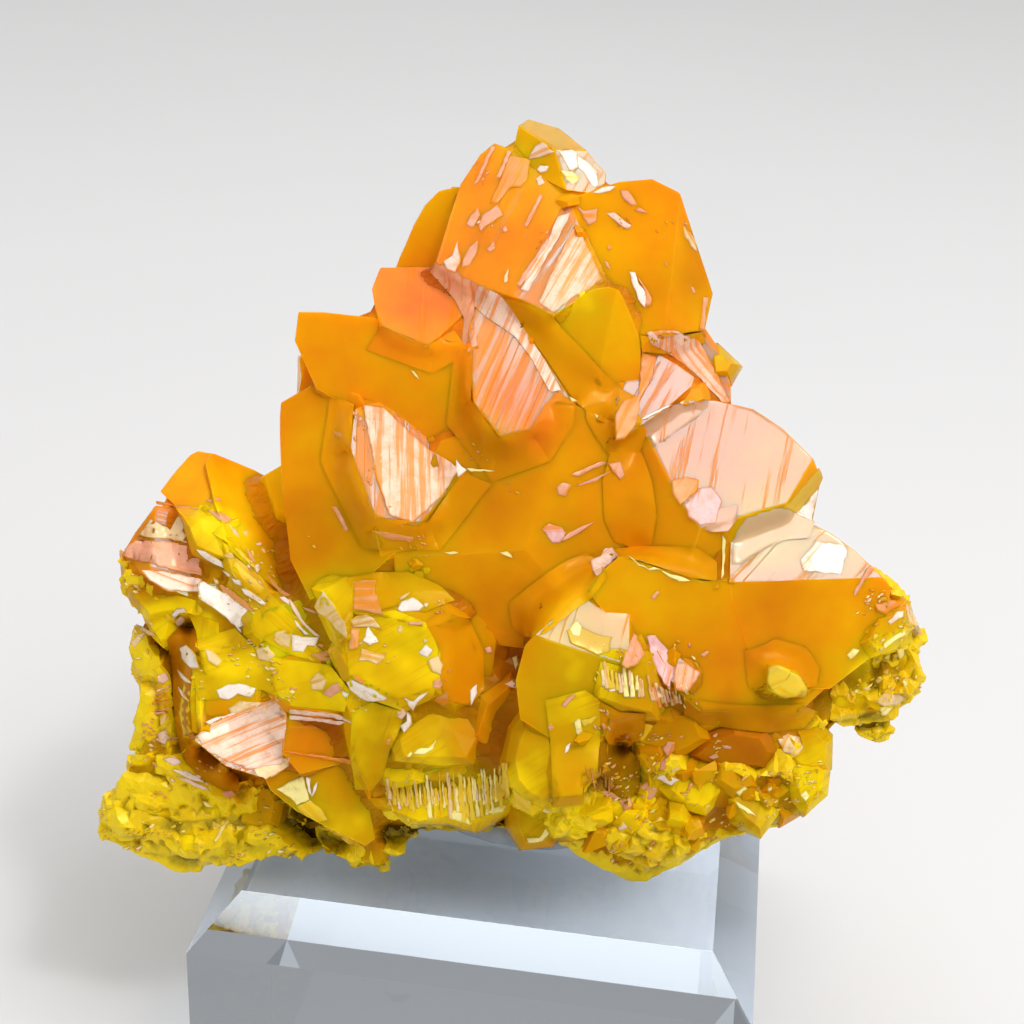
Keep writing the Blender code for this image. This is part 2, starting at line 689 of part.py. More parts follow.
def main():
    clear_scene()
    parts = new_collection("orpiment_on_matrix")
    grown = new_collection("crystals")
    rock = new_collection("rock")
    cutters = new_collection("cutters")
    seats = new_collection("seats")
    crystals = top_crystals() + middle_crystals() + body_crystals() + left_crystals()
    crystals += front_crystals() + rear_crystals()
    cluster = new_object("orpiment_crystals", cleave(crystals[0]), parts)
    for i, planes in enumerate(crystals[1:]):
        helper_object("crystal_%02d" % i, cleave(planes), grown)
    for i, planes in enumerate(crystals):
        helper_object("grown_%02d" % i, cleave(planes, grow=FIT_GAP), cutters)
    slabs = matrix_slabs()
    matrix = new_object("matrix", boulder(*CORE_LUMPS[0], seed=1), parts)
    for i, planes in enumerate(slabs):
        helper_object("slab_%02d" % i, cleave(planes), rock)
    for i, lump in enumerate(CORE_LUMPS[1:]):
        helper_object("lump_%02d" % i, boulder(*lump, seed=i + 2), rock)
    for i, lump in enumerate(BUMPS):
        helper_object("bump_%02d" % i, boulder(*lump, seed=i + 20), rock)
    for i, lump in enumerate(PITS):
        helper_object("pit_%02d" % i, boulder(*lump, seed=i + 50, detail=1), cutters)
    for i, bm in enumerate(seat_cutters()):
        helper_object("seat_%02d" % i, bm, seats)
    boolean(cluster, "UNION", grown)
    boolean(cluster, "DIFFERENCE", seats)
    boolean(matrix, "UNION", rock)
    boolean(matrix, "DIFFERENCE", cutters)
    boolean(matrix, "DIFFERENCE", seats)
    finish_solid(cluster)
    finish_solid(matrix)
    block = new_object("display_block", display_block(), parts)
    putty = new_object("mounting_putty", putty_pad(), parts)
    cluster.data.materials.append(material("orpiment", (0.87, 0.30, 0.005), 0.22))
    matrix.data.materials.append(material("matrix_crust", (0.60, 0.40, 0.01), 0.55))
    putty.data.materials.append(material("putty", (0.55, 0.58, 0.62), 0.7))
    block.data.materials.append(material("acrylic", (0.93, 0.95, 0.96), 0.04, transmission=1.0))


main()
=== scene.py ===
import bisect
import math
import random
from itertools import accumulate

import bmesh
import numpy as np
import bpy
from mathutils import Matrix, Vector, noise
from mathutils.bvhtree import BVHTree
from mathutils.geometry import delaunay_2d_cdt


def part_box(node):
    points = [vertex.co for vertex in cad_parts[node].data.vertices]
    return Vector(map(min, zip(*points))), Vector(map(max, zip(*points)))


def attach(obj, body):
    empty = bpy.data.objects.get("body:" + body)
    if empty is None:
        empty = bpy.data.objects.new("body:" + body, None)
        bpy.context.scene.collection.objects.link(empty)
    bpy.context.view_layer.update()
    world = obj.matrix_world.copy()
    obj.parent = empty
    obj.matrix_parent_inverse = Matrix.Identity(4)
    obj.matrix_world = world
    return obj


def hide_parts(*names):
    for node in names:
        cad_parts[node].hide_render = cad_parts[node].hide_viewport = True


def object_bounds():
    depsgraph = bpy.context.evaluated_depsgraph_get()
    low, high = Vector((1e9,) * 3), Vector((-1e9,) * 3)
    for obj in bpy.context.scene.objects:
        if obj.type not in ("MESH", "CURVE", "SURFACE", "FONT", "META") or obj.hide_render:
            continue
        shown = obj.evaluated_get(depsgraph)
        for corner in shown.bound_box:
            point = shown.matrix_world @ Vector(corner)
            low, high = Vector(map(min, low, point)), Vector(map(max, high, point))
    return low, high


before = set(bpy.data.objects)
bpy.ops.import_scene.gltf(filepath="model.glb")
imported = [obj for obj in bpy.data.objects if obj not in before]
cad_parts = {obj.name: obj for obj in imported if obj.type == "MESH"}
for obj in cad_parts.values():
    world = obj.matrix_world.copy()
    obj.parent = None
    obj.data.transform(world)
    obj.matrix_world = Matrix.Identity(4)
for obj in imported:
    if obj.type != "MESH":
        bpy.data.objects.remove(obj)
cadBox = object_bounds()
print("frame loaded")

# without a seed the noise vectors start from the clock
noise.seed_set(4)

mm = 0.001

# the eye that the specimen is laid out from; picture points are pixels of a 1024 square
viewpoint = {
    "azimuth": 6.98,
    "elevation": 26.75,
    "roll": 2.80,
    "focal": 1800,
    "pictureMiddle": 512,
    "sensorWidth": 36,
    "eye": (12.75, -110.16, 97.56),
    "specimenMiddle": (0, -6, 43),
}


def viewAxes():
    a, e, r = (math.radians(viewpoint[k]) for k in ("azimuth", "elevation", "roll"))
    right = Vector((math.cos(a), math.sin(a), 0))
    up = Vector((-math.sin(a) * math.sin(e), math.cos(a) * math.sin(e), math.cos(e)))
    back = Vector((math.sin(a) * math.cos(e), -math.cos(a) * math.cos(e), math.sin(e)))
    return (right * math.cos(r) + up * math.sin(r),
            up * math.cos(r) - right * math.sin(r), back)


rightAxis, upAxis, backAxis = viewAxes()
eye = Vector(viewpoint["eye"]) * mm
specimenMiddle = Vector(viewpoint["specimenMiddle"]) * mm
middleDistance = (eye - specimenMiddle).dot(backAxis)


def sight(x, y):
    across = (x - viewpoint["pictureMiddle"]) / viewpoint["focal"]
    upwards = (viewpoint["pictureMiddle"] - y) / viewpoint["focal"]
    return rightAxis * across + upAxis * upwards - backAxis


def place(x, y, depth):
    return eye + sight(x, y) * (middleDistance - depth * mm)


def pictureOf(point):
    seen = point - eye
    far = -seen.dot(backAxis)
    focal, middle = viewpoint["focal"], viewpoint["pictureMiddle"]
    return (middle + seen.dot(rightAxis) / far * focal,
            middle - seen.dot(upAxis) / far * focal,
            (middleDistance - far) / mm)


def leaningNormal(right, up):
    return (backAxis + rightAxis * right + upAxis * up).normalized()


# picture points from text: x y x y ...
def pointsOf(text):
    numbers = [float(n) for n in text.split()]
    return list(zip(numbers[::2], numbers[1::2]))


# a traced outline: its first picture point, then the step to each next one
def outlineOf(text):
    across, down = zip(*pointsOf(text))
    return list(zip(accumulate(across), accumulate(down)))


def limited(value, low=0.0, high=1.0):
    return max(low, min(high, value))


# a random vector, the same in all directions
def anyWay(chance, spread=1):
    return Vector([chance.gauss(0, spread) for _ in range(3)])


# a random size between two ends, mostly near the lower one
def sizeWithin(ends, chance, power):
    low, high = ends
    return low + (high - low) * chance.random() ** power


def inScene(thing):
    bpy.context.scene.collection.objects.link(thing)
    return thing


def meshOf(bm, name):
    mesh = bpy.data.meshes.new(name)
    bm.to_mesh(mesh)
    bm.free()
    return mesh


def newPiece(name, bm, replaced=()):
    return adopt(name, meshOf(bm, name), replaced)


def adopt(name, mesh, replaced=()):
    piece = inScene(bpy.data.objects.new(name, mesh))
    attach(piece, "root")
    for node in replaced:
        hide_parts(node)
    return piece


def triangulated(bm, most=4):
    bmesh.ops.triangulate(bm, faces=[f for f in bm.faces if len(f.verts) > most])


def moveTo(bm, places):
    for v, place in zip(bm.verts, places):
        v.co = place


# a mesh with one modifier applied
def modified(mesh, kind, **settings):
    helper = inScene(bpy.data.objects.new("helper", mesh))
    modifier = helper.modifiers.new("helper", kind)
    for key, value in settings.items():
        setattr(modifier, key, value)
    bpy.context.view_layer.update()
    graph = bpy.context.evaluated_depsgraph_get()
    bm = bmesh.new()
    bm.from_mesh(bpy.data.meshes.new_from_object(helper.evaluated_get(graph)))
    bpy.data.objects.remove(helper)
    bm.normal_update()
    return bm


def nodeMesh(node):
    bm = bmesh.new()
    bm.from_mesh(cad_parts[node].data)
    bmesh.ops.remove_doubles(bm, verts=bm.verts, dist=2e-6)
    bmesh.ops.dissolve_limit(bm, angle_limit=math.radians(0.4), verts=bm.verts, edges=bm.edges)
    return bm


# light
stageSettings = {
    "softboxDirection": (0.457, 0.64, 0.642),
    "softboxDistance": 0.45,
    "softboxWidth": 0.285,
    "softboxShine": 2.2,
    "softboxPower": 1.2,
    "softboxColour": (1.0, 0.98, 1.0),
    "sparkDirection": (0.36, 0.52, 0.77),
    "sparkWidth": 0.05,
    "sparkPower": 0.42,
    "topPanel": {"at": (-0.08, 0.14, 0.60), "width": 0.45, "power": 0.62, "colour": (0.88, 0.94, 1.0)},
    "worldColour": (1.0, 1.0, 1.0),
    "worldStrength": 0.62,
    "worldMirrored": 0.12,
    "seenThrough": [(0.47, 0.0), (0.52, 0.48), (0.75, 0.5), (0.95, 0.15)],
    "floorColour": (0.80, 0.79, 0.78),
    "floorShade": 0.94,
    "floorHalf": 2.0,
    "floorHeight": -0.0002,
}


def lampPlace(name):
    x, y, z = stageSettings[name]
    direction = (rightAxis * x + upAxis * y + backAxis * z).normalized()
    return specimenMiddle + direction * stageSettings["softboxDistance"]


softboxPlace = lampPlace("softboxDirection")
sparkPlace = lampPlace("sparkDirection")


# crystals
# facets that shine: a picture point on each, stripe angle, stripe spacing and relief (mm), paleness (a
# painted reflection colour as well as a stronger real specular), share of the facet that grooves take, and
# how much of the shine is lost towards one end
striatedFacets = {
    "twinPrismLeft": ((500, 230), 64, 0.9, 0.05, 0.22, 0.9, 0.0),
    "twinPrismRight": ((572, 265), 57, 0.75, 0.07, 1.0, 0.6, 0.0),
    "peachTop": ((420, 300), 88, 1.1, 0.02, 0.11, 0.2, 0.0),
    "longFace": ((515, 360), 67, 0.5, 0.05, 0.86, 0.5, 0.6),
    "redWedge": ((690, 355), -45, 0.5, 0.06, 0.9, 0.55, 0.0),
    "foldFace": ((655, 385), 60, 0.9, 0.05, 0.9, 0.2, 0.0),
    "shoulderTop": ((730, 465), 75, 1.6, 0.03, 0.78, 0.14, 0.0),
    "rightTop": ((775, 540), 45, 1.8, 0.03, 0.86, 0.1, 0.0),
    "verticalFace": ((410, 465), 91, 0.38, 0.05, 0.9, 0.55, 0.0),
    "leftStriped": ((170, 550), -12, 0.45, 0.05, 0.85, 0.5, 0.0),
    "whiteChip": ((228, 612), -30, 0.8, 0.03, 1.0, 0.1, 0.0),
    "fanFace": ((240, 740), 22, 0.55, 0.05, 0.95, 0.4, 0.0),
    "paleFanTop": ((592, 620), 70, 1.5, 0.02, 0.62, 0.14, 0.0),
    "fanSide": ((320, 738), -5, 0.8, 0.03, 0.0, 0.2, 0.0),
    "twinChipLeft": ((635, 655), 70, 1.5, 0.01, 0.9, 0.1, 0.0),
    "twinChipRight": ((672, 664), 70, 1.5, 0.01, 0.7, 0.0, 0.0),
    "tipTop": ((580, 168), 60, 0.9, 0.04, 0.9, 0.2, 0.0),
    "tipRidge": ((560, 140), -35, 1.0, 0.03, 0.35, 0.2, 0.0),
}
crystalSettings = {"rim": 0.13, "crossSpacing": 1.2, "grid": 2.6, "waves": 0.10, "ripples": 0.03,
                   "edge": 0.07, "edgeAngle": 25, "paintedFill": 0.5, "softRidge": 1.5, "softAngle": 22,
                   "smoothAngle": 5}

# picture point, depth (mm), tone (0 red, 0.4 orange, 0.7 amber, 0.85 olive, 1 yellow), shade: a brightness
# factor, partly the crystal's own lighter and darker tone and partly painted light and shade, raised where
# the lamps reach little and lowered low down
crystalTones = [
    (535, 130, -2, .72, 1.1), (590, 165, -3, .6, 1.1), (500, 170, 0, .42, 1.1), (510, 250, 1, .38, 1.0),
    (640, 230, 0, .52, 1.1), (690, 280, 0, .6, .88), (640, 300, 0, .44, .95), (430, 235, -4, .55, 1.1),
    (440, 200, -4, .6, 1.1), (420, 300, 1, .14, 1.1), (400, 270, 0, .2, 1.1), (440, 345, 2, .22, 1.0),
    (515, 330, 2, .34, 1.0), (515, 420, 2, .1, .95), (590, 370, 0, .56, 1.1), (590, 320, 2, .66, 1.0),
    (610, 350, 2, .66, 1.0), (570, 400, 1, .42, .9), (690, 360, -1, .24, 1.0), (710, 330, -1, .5, 1.0),
    (655, 390, 1, .36, 1.0), (700, 440, 1, .45, 1.0), (780, 450, 0, .5, 1.0), (640, 490, 1, .5, .95),
    (700, 550, 1, .44, .85), (650, 530, 1, .48, .95), (380, 350, 2, .46, 1.05), (340, 300, 0, .52, 1.1),
    (325, 450, 1, .5, 1.05), (320, 540, 1, .52, .85), (330, 400, 0, .45, 1.0), (440, 390, 1, .5, .9),
    (410, 465, 3, .38, 1.0), (500, 450, 3, .5, .78), (470, 520, 3, .5, .76), (470, 545, 3, .6, .95),
    (480, 600, 2, .45, .8), (520, 650, 2, .48, .8), (545, 560, 3, .52, .9), (580, 560, 3, .5, .75),
    (600, 430, 2, .55, .9), (620, 600, 3, .66, 1.0), (700, 620, 3, .46, .8), (740, 640, 2, .42, .84),
    (770, 600, 2, .52, .84), (790, 660, 2, .46, .86), (840, 620, 0, .55, 1.0), (860, 590, -1, .36, 1.0),
    (760, 545, 1, .7, 1.0), (830, 555, 0, .62, 1.05), (190, 475, -5, .55, 1.15), (180, 490, -5, .34, 1.1),
    (260, 490, -5, .7, 1.6), (245, 540, -4, .74, 1.4), (300, 560, -5, .54, .9), (165, 555, -3, .42, 1.0),
    (140, 530, -3, .42, 1.0), (215, 535, -3, .84, 1.0), (240, 570, -3, .8, .95), (240, 740, 0, .48, 1.0),
    (320, 735, 0, .42, .85), (320, 790, -2, .66, .9), (350, 820, -2, .74, 1.0), (335, 590, 2, .84, .95),
    (380, 640, 2, .92, 1.0), (400, 600, 2, .78, .95), (410, 670, 2, .9, 1.0), (460, 650, 2, .6, .86),
    (300, 690, 1, .84, 1.0), (325, 668, 1, .86, 1.0), (285, 660, 1, .88, 1.0), (230, 640, 1, .9, .95),
    (220, 690, 1, .98, 1.05), (360, 740, 1, .85, 1.0), (430, 700, 2, .84, .95), (560, 680, 5, .84, .92),
    (540, 690, 5, .8, .92), (590, 620, 5, .66, 1.0), (440, 740, 1, .9, .85), (490, 730, 2, .6, .72),
    (536, 750, 3, .97, 1.0), (575, 750, 3, .92, .95), (560, 800, 3, .95, .9), (630, 720, 3, .45, .75),
    (680, 740, 3, .6, .8), (700, 790, 4, .74, .95), (660, 800, 4, .82, .92), (650, 840, 4, .9, .95),
    (750, 730, 3, .5, .62), (788, 681, 4, .92, 1.05), (760, 790, 4, .8, .9), (810, 780, 3, .92, .95),
    (160, 610, 0, 1.0, 1.0), (150, 700, 0, .98, 1.0), (170, 800, 0, .95, 1.0), (300, 840, -2, .85, .5),
    (450, 800, 2, .96, 1.0), (880, 650, 0, 1.0, 1.0), (870, 720, 0, .95, .9),
]


def boundaryEdges(faces):
    return [e for f in faces for e in f.edges if sum(o in faces for o in e.link_faces) == 1]


# faces with their corners and edges, each once and in the same order in each run
def wholeOf(faces):
    corners = dict.fromkeys(v for f in faces for v in f.verts)
    return [*corners, *dict.fromkeys(e for f in faces for e in f.edges), *faces]


def cutFacet(bm, faces, point, normal):
    cut = bmesh.ops.bisect_plane(bm, geom=wholeOf(faces), dist=2e-6, plane_co=point, plane_no=normal)
    return [g for g in cut["geom"] if isinstance(g, bmesh.types.BMFace)]


def crystalLayers(bm):
    return {
        "tone": bm.verts.layers.float.new("tone"),
        "shade": bm.verts.layers.float.new("shade"),
        "axis": bm.faces.layers.float_vector.new("stripeAxis"),
        "grooved": bm.faces.layers.float.new("grooved"),
        "pale": bm.loops.layers.float.new("pale"),
        "paintedShine": bm.verts.layers.float_vector.new("paintedShine"),
        "cover": bm.verts.layers.float.new("cover"),
        "edge": bm.faces.layers.float.new("edge"),
        "paintedFill": bm.faces.layers.float.new("paintedFill"),
    }


def stripeAxes(normal, angle):
    turn = math.radians(angle)
    flat = rightAxis * math.cos(turn) + upAxis * math.sin(turn)
    along = (flat - backAxis * (normal.dot(flat) / normal.dot(backAxis))).normalized()
    return along, normal.cross(along).normalized()


def extent(points, way):
    marks = [p.dot(way) for p in points]
    return min(marks), max(marks)


def striate(bm, face, spec, chance, layers):
    _, angle, spacing, relief, pale, grooves, fade = spec
    normal = face.normal.copy()
    middle = face.calc_center_median()
    along, across = stripeAxes(normal, angle)
    corners = [v.co - middle for v in face.verts]
    low, high = extent(corners, across)
    start, end = extent(corners, along)
    rim = [(e.verts[0].co.copy(), e.verts[1].co.copy()) for e in face.edges
           if e.calc_length() > 0.35 * mm]
    faces = [face]
    for first, second in rim[:14]:
        inward = normal.cross((second - first).normalized())
        if inward.dot(middle - first) < 0:
            inward = -inward
        faces = cutFacet(bm, faces, first + inward * crystalSettings["rim"] * mm, inward)
    # lines across the facet: pairs that bound a narrow riser or groove between wide treads
    profile = [(low - mm, 0.0)]
    level, at = 0.0, low
    while at < high:
        at += spacing * mm * chance.uniform(0.35, 1.7)
        if at > high:
            break
        riser = spacing * mm * grooves * chance.uniform(0.2, 0.9)
        profile.append((at, level + chance.uniform(-0.15, 0.15) * relief * mm))
        level = chance.uniform(-1.0, 0.25) * relief * mm
        at += max(riser, 0.05 * mm)
        profile.append((at, level))
    profile.append((high + mm, level))
    for at, _ in profile[1:-1]:
        faces = cutFacet(bm, faces, middle + across * at, across)
    steps = max(1, int((end - start) / (crystalSettings["crossSpacing"] * mm)))
    for i in range(1, steps):
        at = start + (end - start) * (i + chance.uniform(-0.2, 0.2)) / steps
        faces = cutFacet(bm, faces, middle + along * at, along)
    edge = {v for e in boundaryEdges(faces) for v in e.verts}
    for f in faces:
        f[layers["axis"]] = across
        f[layers["grooved"]] = grooves
    for loop in (loop for f in faces for loop in f.loops):
        share = ((loop.vert.co - middle).dot(along) - start) / (end - start)
        loop[layers["pale"]] = pale * (1 - fade * (1 - share))
    for v in {v for f in faces for v in f.verts} - edge:
        at = (v.co - middle).dot(across)
        for (a, ha), (b, hb) in zip(profile, profile[1:]):
            if a <= at <= b:
                v.co += normal * (ha + (hb - ha) * (at - a) / max(b - a, 1e-9))
                break


# the tone and shade at a point come from the picture points near it
toneSeeds = [(place(x, y, depth), tone, shade) for x, y, depth, tone, shade in crystalTones]


def toneAt(point):
    total, tone, shade = 0.0, 0.0, 0.0
    for seed, a, b in toneSeeds:
        weight = 1.0 / ((seed - point).length_squared + 1e-8) ** 2.5
        total += weight
        tone += weight * a
        shade += weight * b
    return tone / total, shade / total


def gridCuts(bm, keep, spacing):
    points = [v.co for v in bm.verts]
    for axis in (rightAxis, upAxis, backAxis):
        low, high = extent(points, axis)
        at = low + spacing * 0.6
        while at < high:
            faces = [f for f in bm.faces if f not in keep]
            near = [f for f in faces if min(v.co.dot(axis) for v in f.verts) < at - 0.05 * mm
                    and max(v.co.dot(axis) for v in f.verts) > at + 0.05 * mm]
            bmesh.ops.bisect_plane(bm, geom=wholeOf(near), dist=1e-6, plane_co=axis * at, plane_no=axis)
            at += spacing


def wear(bm, coarse, fine):
    for v in bm.verts:
        shift = (noise.noise_vector(v.co / (5 * mm)) * coarse
                 + noise.noise_vector(v.co / (1.3 * mm)) * fine)
        v.co += shift * mm


def roundOff(bm, angle):
    for f in bm.faces:
        f.smooth = True
    for e in bm.edges:
        e.smooth = len(e.link_faces) == 2 and e.calc_face_angle(3.0) < math.radians(angle)


# picture points on ridges that are rounded over softly
softRidges = [(548, 475), (600, 350), (674, 260), (735, 600), (545, 572)]


def softened(bm, spread):
    chosen = []
    for e in bm.edges:
        if len(e.link_faces) != 2 or not e.is_convex or e.calc_face_angle() < math.radians(8):
            continue
        if all(f.normal.dot(backAxis) < 0 for f in e.link_faces):
            continue
        a, b = (Vector(pictureOf(v.co)[:2]) for v in e.verts)
        for x, y in softRidges:
            spot = Vector((x, y))
            t = limited((spot - a).dot(b - a) / max((b - a).length_squared, 1e-6), 0.05, 0.95)
            if (b - a).length > 25 and (spot - a.lerp(b, t)).length < 7:
                chosen.append(e)
                break
    made = bmesh.ops.bevel(bm, geom=chosen, offset=spread * mm, offset_type="OFFSET", segments=4,
                           profile=0.5, affect="EDGES", clamp_overlap=True)
    return {e for f in made["faces"] for e in f.edges}


def crystalCluster():
    bm = nodeMesh("orpiment_crystals")
    bmesh.ops.dissolve_degenerate(bm, dist=0.03 * mm, edges=bm.edges)
    layers = crystalLayers(bm)
    mark = bm.faces.layers.int.new("striated")
    soft = bm.edges.layers.int.new("soft")
    for e in softened(bm, crystalSettings["softRidge"]):
        e[soft] = 1
    sharp = [e for e in bm.edges if len(e.link_faces) == 2 and e.is_convex and not e[soft]
             and e.calc_face_angle() > math.radians(crystalSettings["edgeAngle"])
             and e.calc_length() > 0.5 * mm]
    cut = bmesh.ops.bevel(bm, geom=sharp, offset=crystalSettings["edge"] * mm, offset_type="OFFSET",
                          segments=1, profile=0.5, affect="EDGES", clamp_overlap=False)
    # the bevel faces carry the painted edge highlight
    for f in cut["faces"]:
        f[layers["edge"]] = 1.0
    bm.normal_update()
    bm.faces.ensure_lookup_table()
    tree = BVHTree.FromBMesh(bm)
    picked = {}
    for name, spec in striatedFacets.items():
        found = tree.ray_cast(eye, sight(*spec[0]).normalized())
        if found[2] is not None:
            picked.setdefault(bm.faces[found[2]], name)
    chance = random.Random(4)
    for face, name in picked.items():
        face[mark] = 1
        striate(bm, face, striatedFacets[name], chance, layers)
    gridCuts(bm, {f for f in bm.faces if f[mark]}, crystalSettings["grid"] * mm)
    bm.faces.layers.int.remove(mark)
    triangulated(bm)
    wear(bm, crystalSettings["waves"], crystalSettings["ripples"])
    for v in bm.verts:
        v[layers["tone"]], v[layers["shade"]] = toneAt(v.co)
    bm.normal_update()
    # painted fill light: faces turned away from the lamps are painted lighter by paintedFill
    lightWay = (rightAxis * 0.3 + upAxis * 0.75 + backAxis * 0.6).normalized()
    for f in bm.faces:
        f[layers["paintedFill"]] = limited(0.35 - f.normal.dot(lightWay)) * crystalSettings["paintedFill"]
    roundOff(bm, crystalSettings["smoothAngle"])
    for e in bm.edges:
        if e[soft] and e.is_manifold and e.calc_face_angle() < math.radians(crystalSettings["softAngle"]):
            e.smooth = True
    return newPiece("crystal_cluster", bm, ["orpiment_crystals"])


# strokes on the rock: half width in pixels, push (mm), paint (0 yellow, 1 orange), depth of shadow
# colour, whether grains stay off, and picture path
rockStrokes = [
    (13, -0.7, 1.0, 0.3, True, "180 668 181 700 183 725 189 748 204 766 222 779 238 788"),
    (9, 0.35, 0.35, 0.0, True, "167 672 169 700 171 725 176 750 188 768 206 784 226 796"),
    (14, -0.2, 0.9, 0.1, True, "150 690 158 705"),
    (12, 0.6, 0.1, 0.0, True, "137 640 146 655 152 668"),
    (13, 0.6, 0.0, 0.0, True, "140 700 139 730 139 752"),
    (12, 0.5, 0.1, 0.0, True, "126 786 150 790 175 794"),
    (14, 0.4, 0.0, 0.0, True, "110 822 98 832"),
    (9, 0.4, 0.0, 0.0, True, "196 690 195 712 197 730"),
    (13, -1.6, 0.8, 0.6, True, "168 640 192 634"),
    (19, -1.2, 0.2, 0.65, True, "608 740 620 755 628 776"),
    (20, -0.3, 0.8, 0.15, True, "598 700 640 722 680 735"),
    (14, -1.4, 0.9, 0.7, True, "700 752 726 744 757 752"),
    (15, -2.0, 0.2, 1.0, True, "275 800 292 820 312 834 334 838"),
    (10, -1.2, 0.1, 1.0, True, "390 834 430 836 500 832 514 812"),
    (9, 0.0, 0.2, 0.62, False, "108 846 140 856 168 864 196 864 235 852 275 846"),
    (7, -0.25, 0.5, 0.5, False, "130 818 180 828 230 822 262 818"),
    (7, 0.0, 0.3, 0.55, False, "556 848 600 866 636 880 680 862 720 844 770 832"),
    (8, -0.5, 0.2, 0.66, False, "822 734 850 726 880 722"),
    (5, -0.4, 0.2, 0.5, False, "862 640 880 662 874 690"),
]


strokePaths = [[Vector(c) for c in pointsOf(stroke[-1])] for stroke in rockStrokes]


# strokes that reach a point, each with its share there
def strokeAt(point):
    x, y, _ = pictureOf(point)
    spot = Vector((x, y))
    for stroke, path in zip(rockStrokes, strokePaths):
        best = 1e9
        for a, b in zip(path, path[1:]):
            t = limited((spot - a).dot(b - a) / (b - a).length_squared)
            best = min(best, (spot - a.lerp(b, t)).length)
        if best < stroke[0] * 1.5:
            share = limited(1.5 - best / stroke[0])
            yield stroke, share * share * (3 - 2 * share)


# ground mass
# what fills the clefts between crystals: both solids swollen, made one, and shrunk again
groundSettings = {"voxel": 0.36, "swell": 0.75, "sunk": 0.17, "cell": 1.5, "cellDepth": 0.35,
                  "smoothRounds": 2, "overhang": 6, "gap": 0.3, "near": 0.8}


def remeshed(mesh, voxel):
    return modified(mesh, "REMESH", mode="VOXEL", voxel_size=voxel * mm)


# how far each vertex lies below its smoothed surroundings, in mm
def hollows(bm, rounds):
    bm.verts.index_update()
    spots = np.array([v.co for v in bm.verts])
    ways = np.array([v.normal for v in bm.verts])
    ends = np.array([[v.index for v in e.verts] for e in bm.edges])
    first, second = np.concatenate((ends[:, 0], ends[:, 1])), np.concatenate((ends[:, 1], ends[:, 0]))
    count = np.maximum(np.bincount(first, minlength=len(spots)), 1)
    even = spots.copy()
    for _ in range(rounds):
        around = np.stack([np.bincount(first, even[second, k], len(spots)) for k in range(3)], 1)
        even = even * 0.5 + around / count[:, None] * 0.5
    return ((even - spots) * ways).sum(1) / mm


def cellOffset(point, size, seed):
    p = point / size + Vector((seed, seed * 1.7, seed * 0.3))
    centre = noise.voronoi(p, distance_metric="DISTANCE", exponent=2.5)[1][0]
    lean = noise.cell_vector(centre * 7.31) - Vector((0.5, 0.5, 0.5))
    return (p - centre).dot(lean) * 2.2 + (noise.cell(centre * 3.7) - 0.5) * 0.5


def groundMass(cluster, rock, steps):
    values = groundSettings
    both = bmesh.new()
    for node in ("orpiment_crystals", "matrix"):
        both.from_mesh(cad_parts[node].data)
    both.from_mesh(steps.data)
    dense = remeshed(meshOf(both, "both"), values["voxel"])
    moveTo(dense, [v.co + v.normal * (values["swell"] * mm) for v in dense.verts])
    dense = remeshed(meshOf(dense, "swollen"), values["voxel"])
    for _ in range(values["smoothRounds"]):
        bmesh.ops.smooth_vert(dense, verts=dense.verts, factor=0.5, use_axis_x=True,
                              use_axis_y=True, use_axis_z=True)
    dense.normal_update()
    moveTo(dense, [v.co - v.normal * (values["swell"] + values["sunk"]) * mm for v in dense.verts])
    layers = crystalLayers(dense)
    dense.normal_update()
    graph = bpy.context.evaluated_depsgraph_get()
    trees = [BVHTree.FromObject(host, graph) for host in (cluster, rock, steps)]
    buried, room = {}, {}
    for v in dense.verts:
        buried[v], room[v] = False, 1.0
        for tree in trees:
            at, normal, _, gap = tree.ray_cast(v.co, v.normal, values["overhang"] * mm)
            if at is not None and normal.dot(v.normal) > 0.1 and gap > values["gap"] * mm:
                buried[v] = True
            near = tree.find_nearest(v.co, values["near"] * mm)
            if near[0] is not None:
                under = (v.co - near[0]).dot(near[1]) < 0
                room[v] = min(room[v], 0.0 if under else near[3] / (values["near"] * mm))
    gone = [f for f in dense.faces if all(buried[v] for v in f.verts)]
    bmesh.ops.delete(dense, geom=gone, context="FACES")
    dense.normal_update()
    moved = []
    for v in dense.verts:
        tone, shade = toneAt(v.co)
        rough = limited((tone - 0.6) / 0.2)
        lift = cellOffset(v.co, values["cell"] * mm, 3.0) * values["cellDepth"] * room[v] * rough
        lift = limited(lift, -0.3, 0.4)
        back = Vector()
        if v.normal.dot(backAxis) > -0.1:
            # the strokes push the surface back, shift its tone and paint their shadow colour into the shade
            for (_, push, orange, dark, *_), share in strokeAt(v.co):
                back += backAxis * push * share
                tone += ((0.45 if orange > 0.5 else 0.95) - tone) * share * 0.6
                shade *= 1 - 0.75 * dark * share
        moved.append(v.co + (v.normal * lift + back) * mm)
        v[layers["tone"]] = tone + 0.12 * noise.noise(v.co / (2.5 * mm))
        v[layers["shade"]] = shade * (1 + 0.12 * noise.noise(v.co / (1.2 * mm)))
    moveTo(dense, moved)
    dense.normal_update()
    # painted shade: darker in hollows and lighter on ridges, and hollows shift their tone too
    for v, hollow in zip(dense.verts, hollows(dense, 8)):
        v[layers["shade"]] *= limited(1 - 3.0 * hollow, 0.62, 1.15)
        v[layers["tone"]] -= limited(1.5 * hollow, -0.12, 0.15)
    return newPiece("ground_mass", dense)


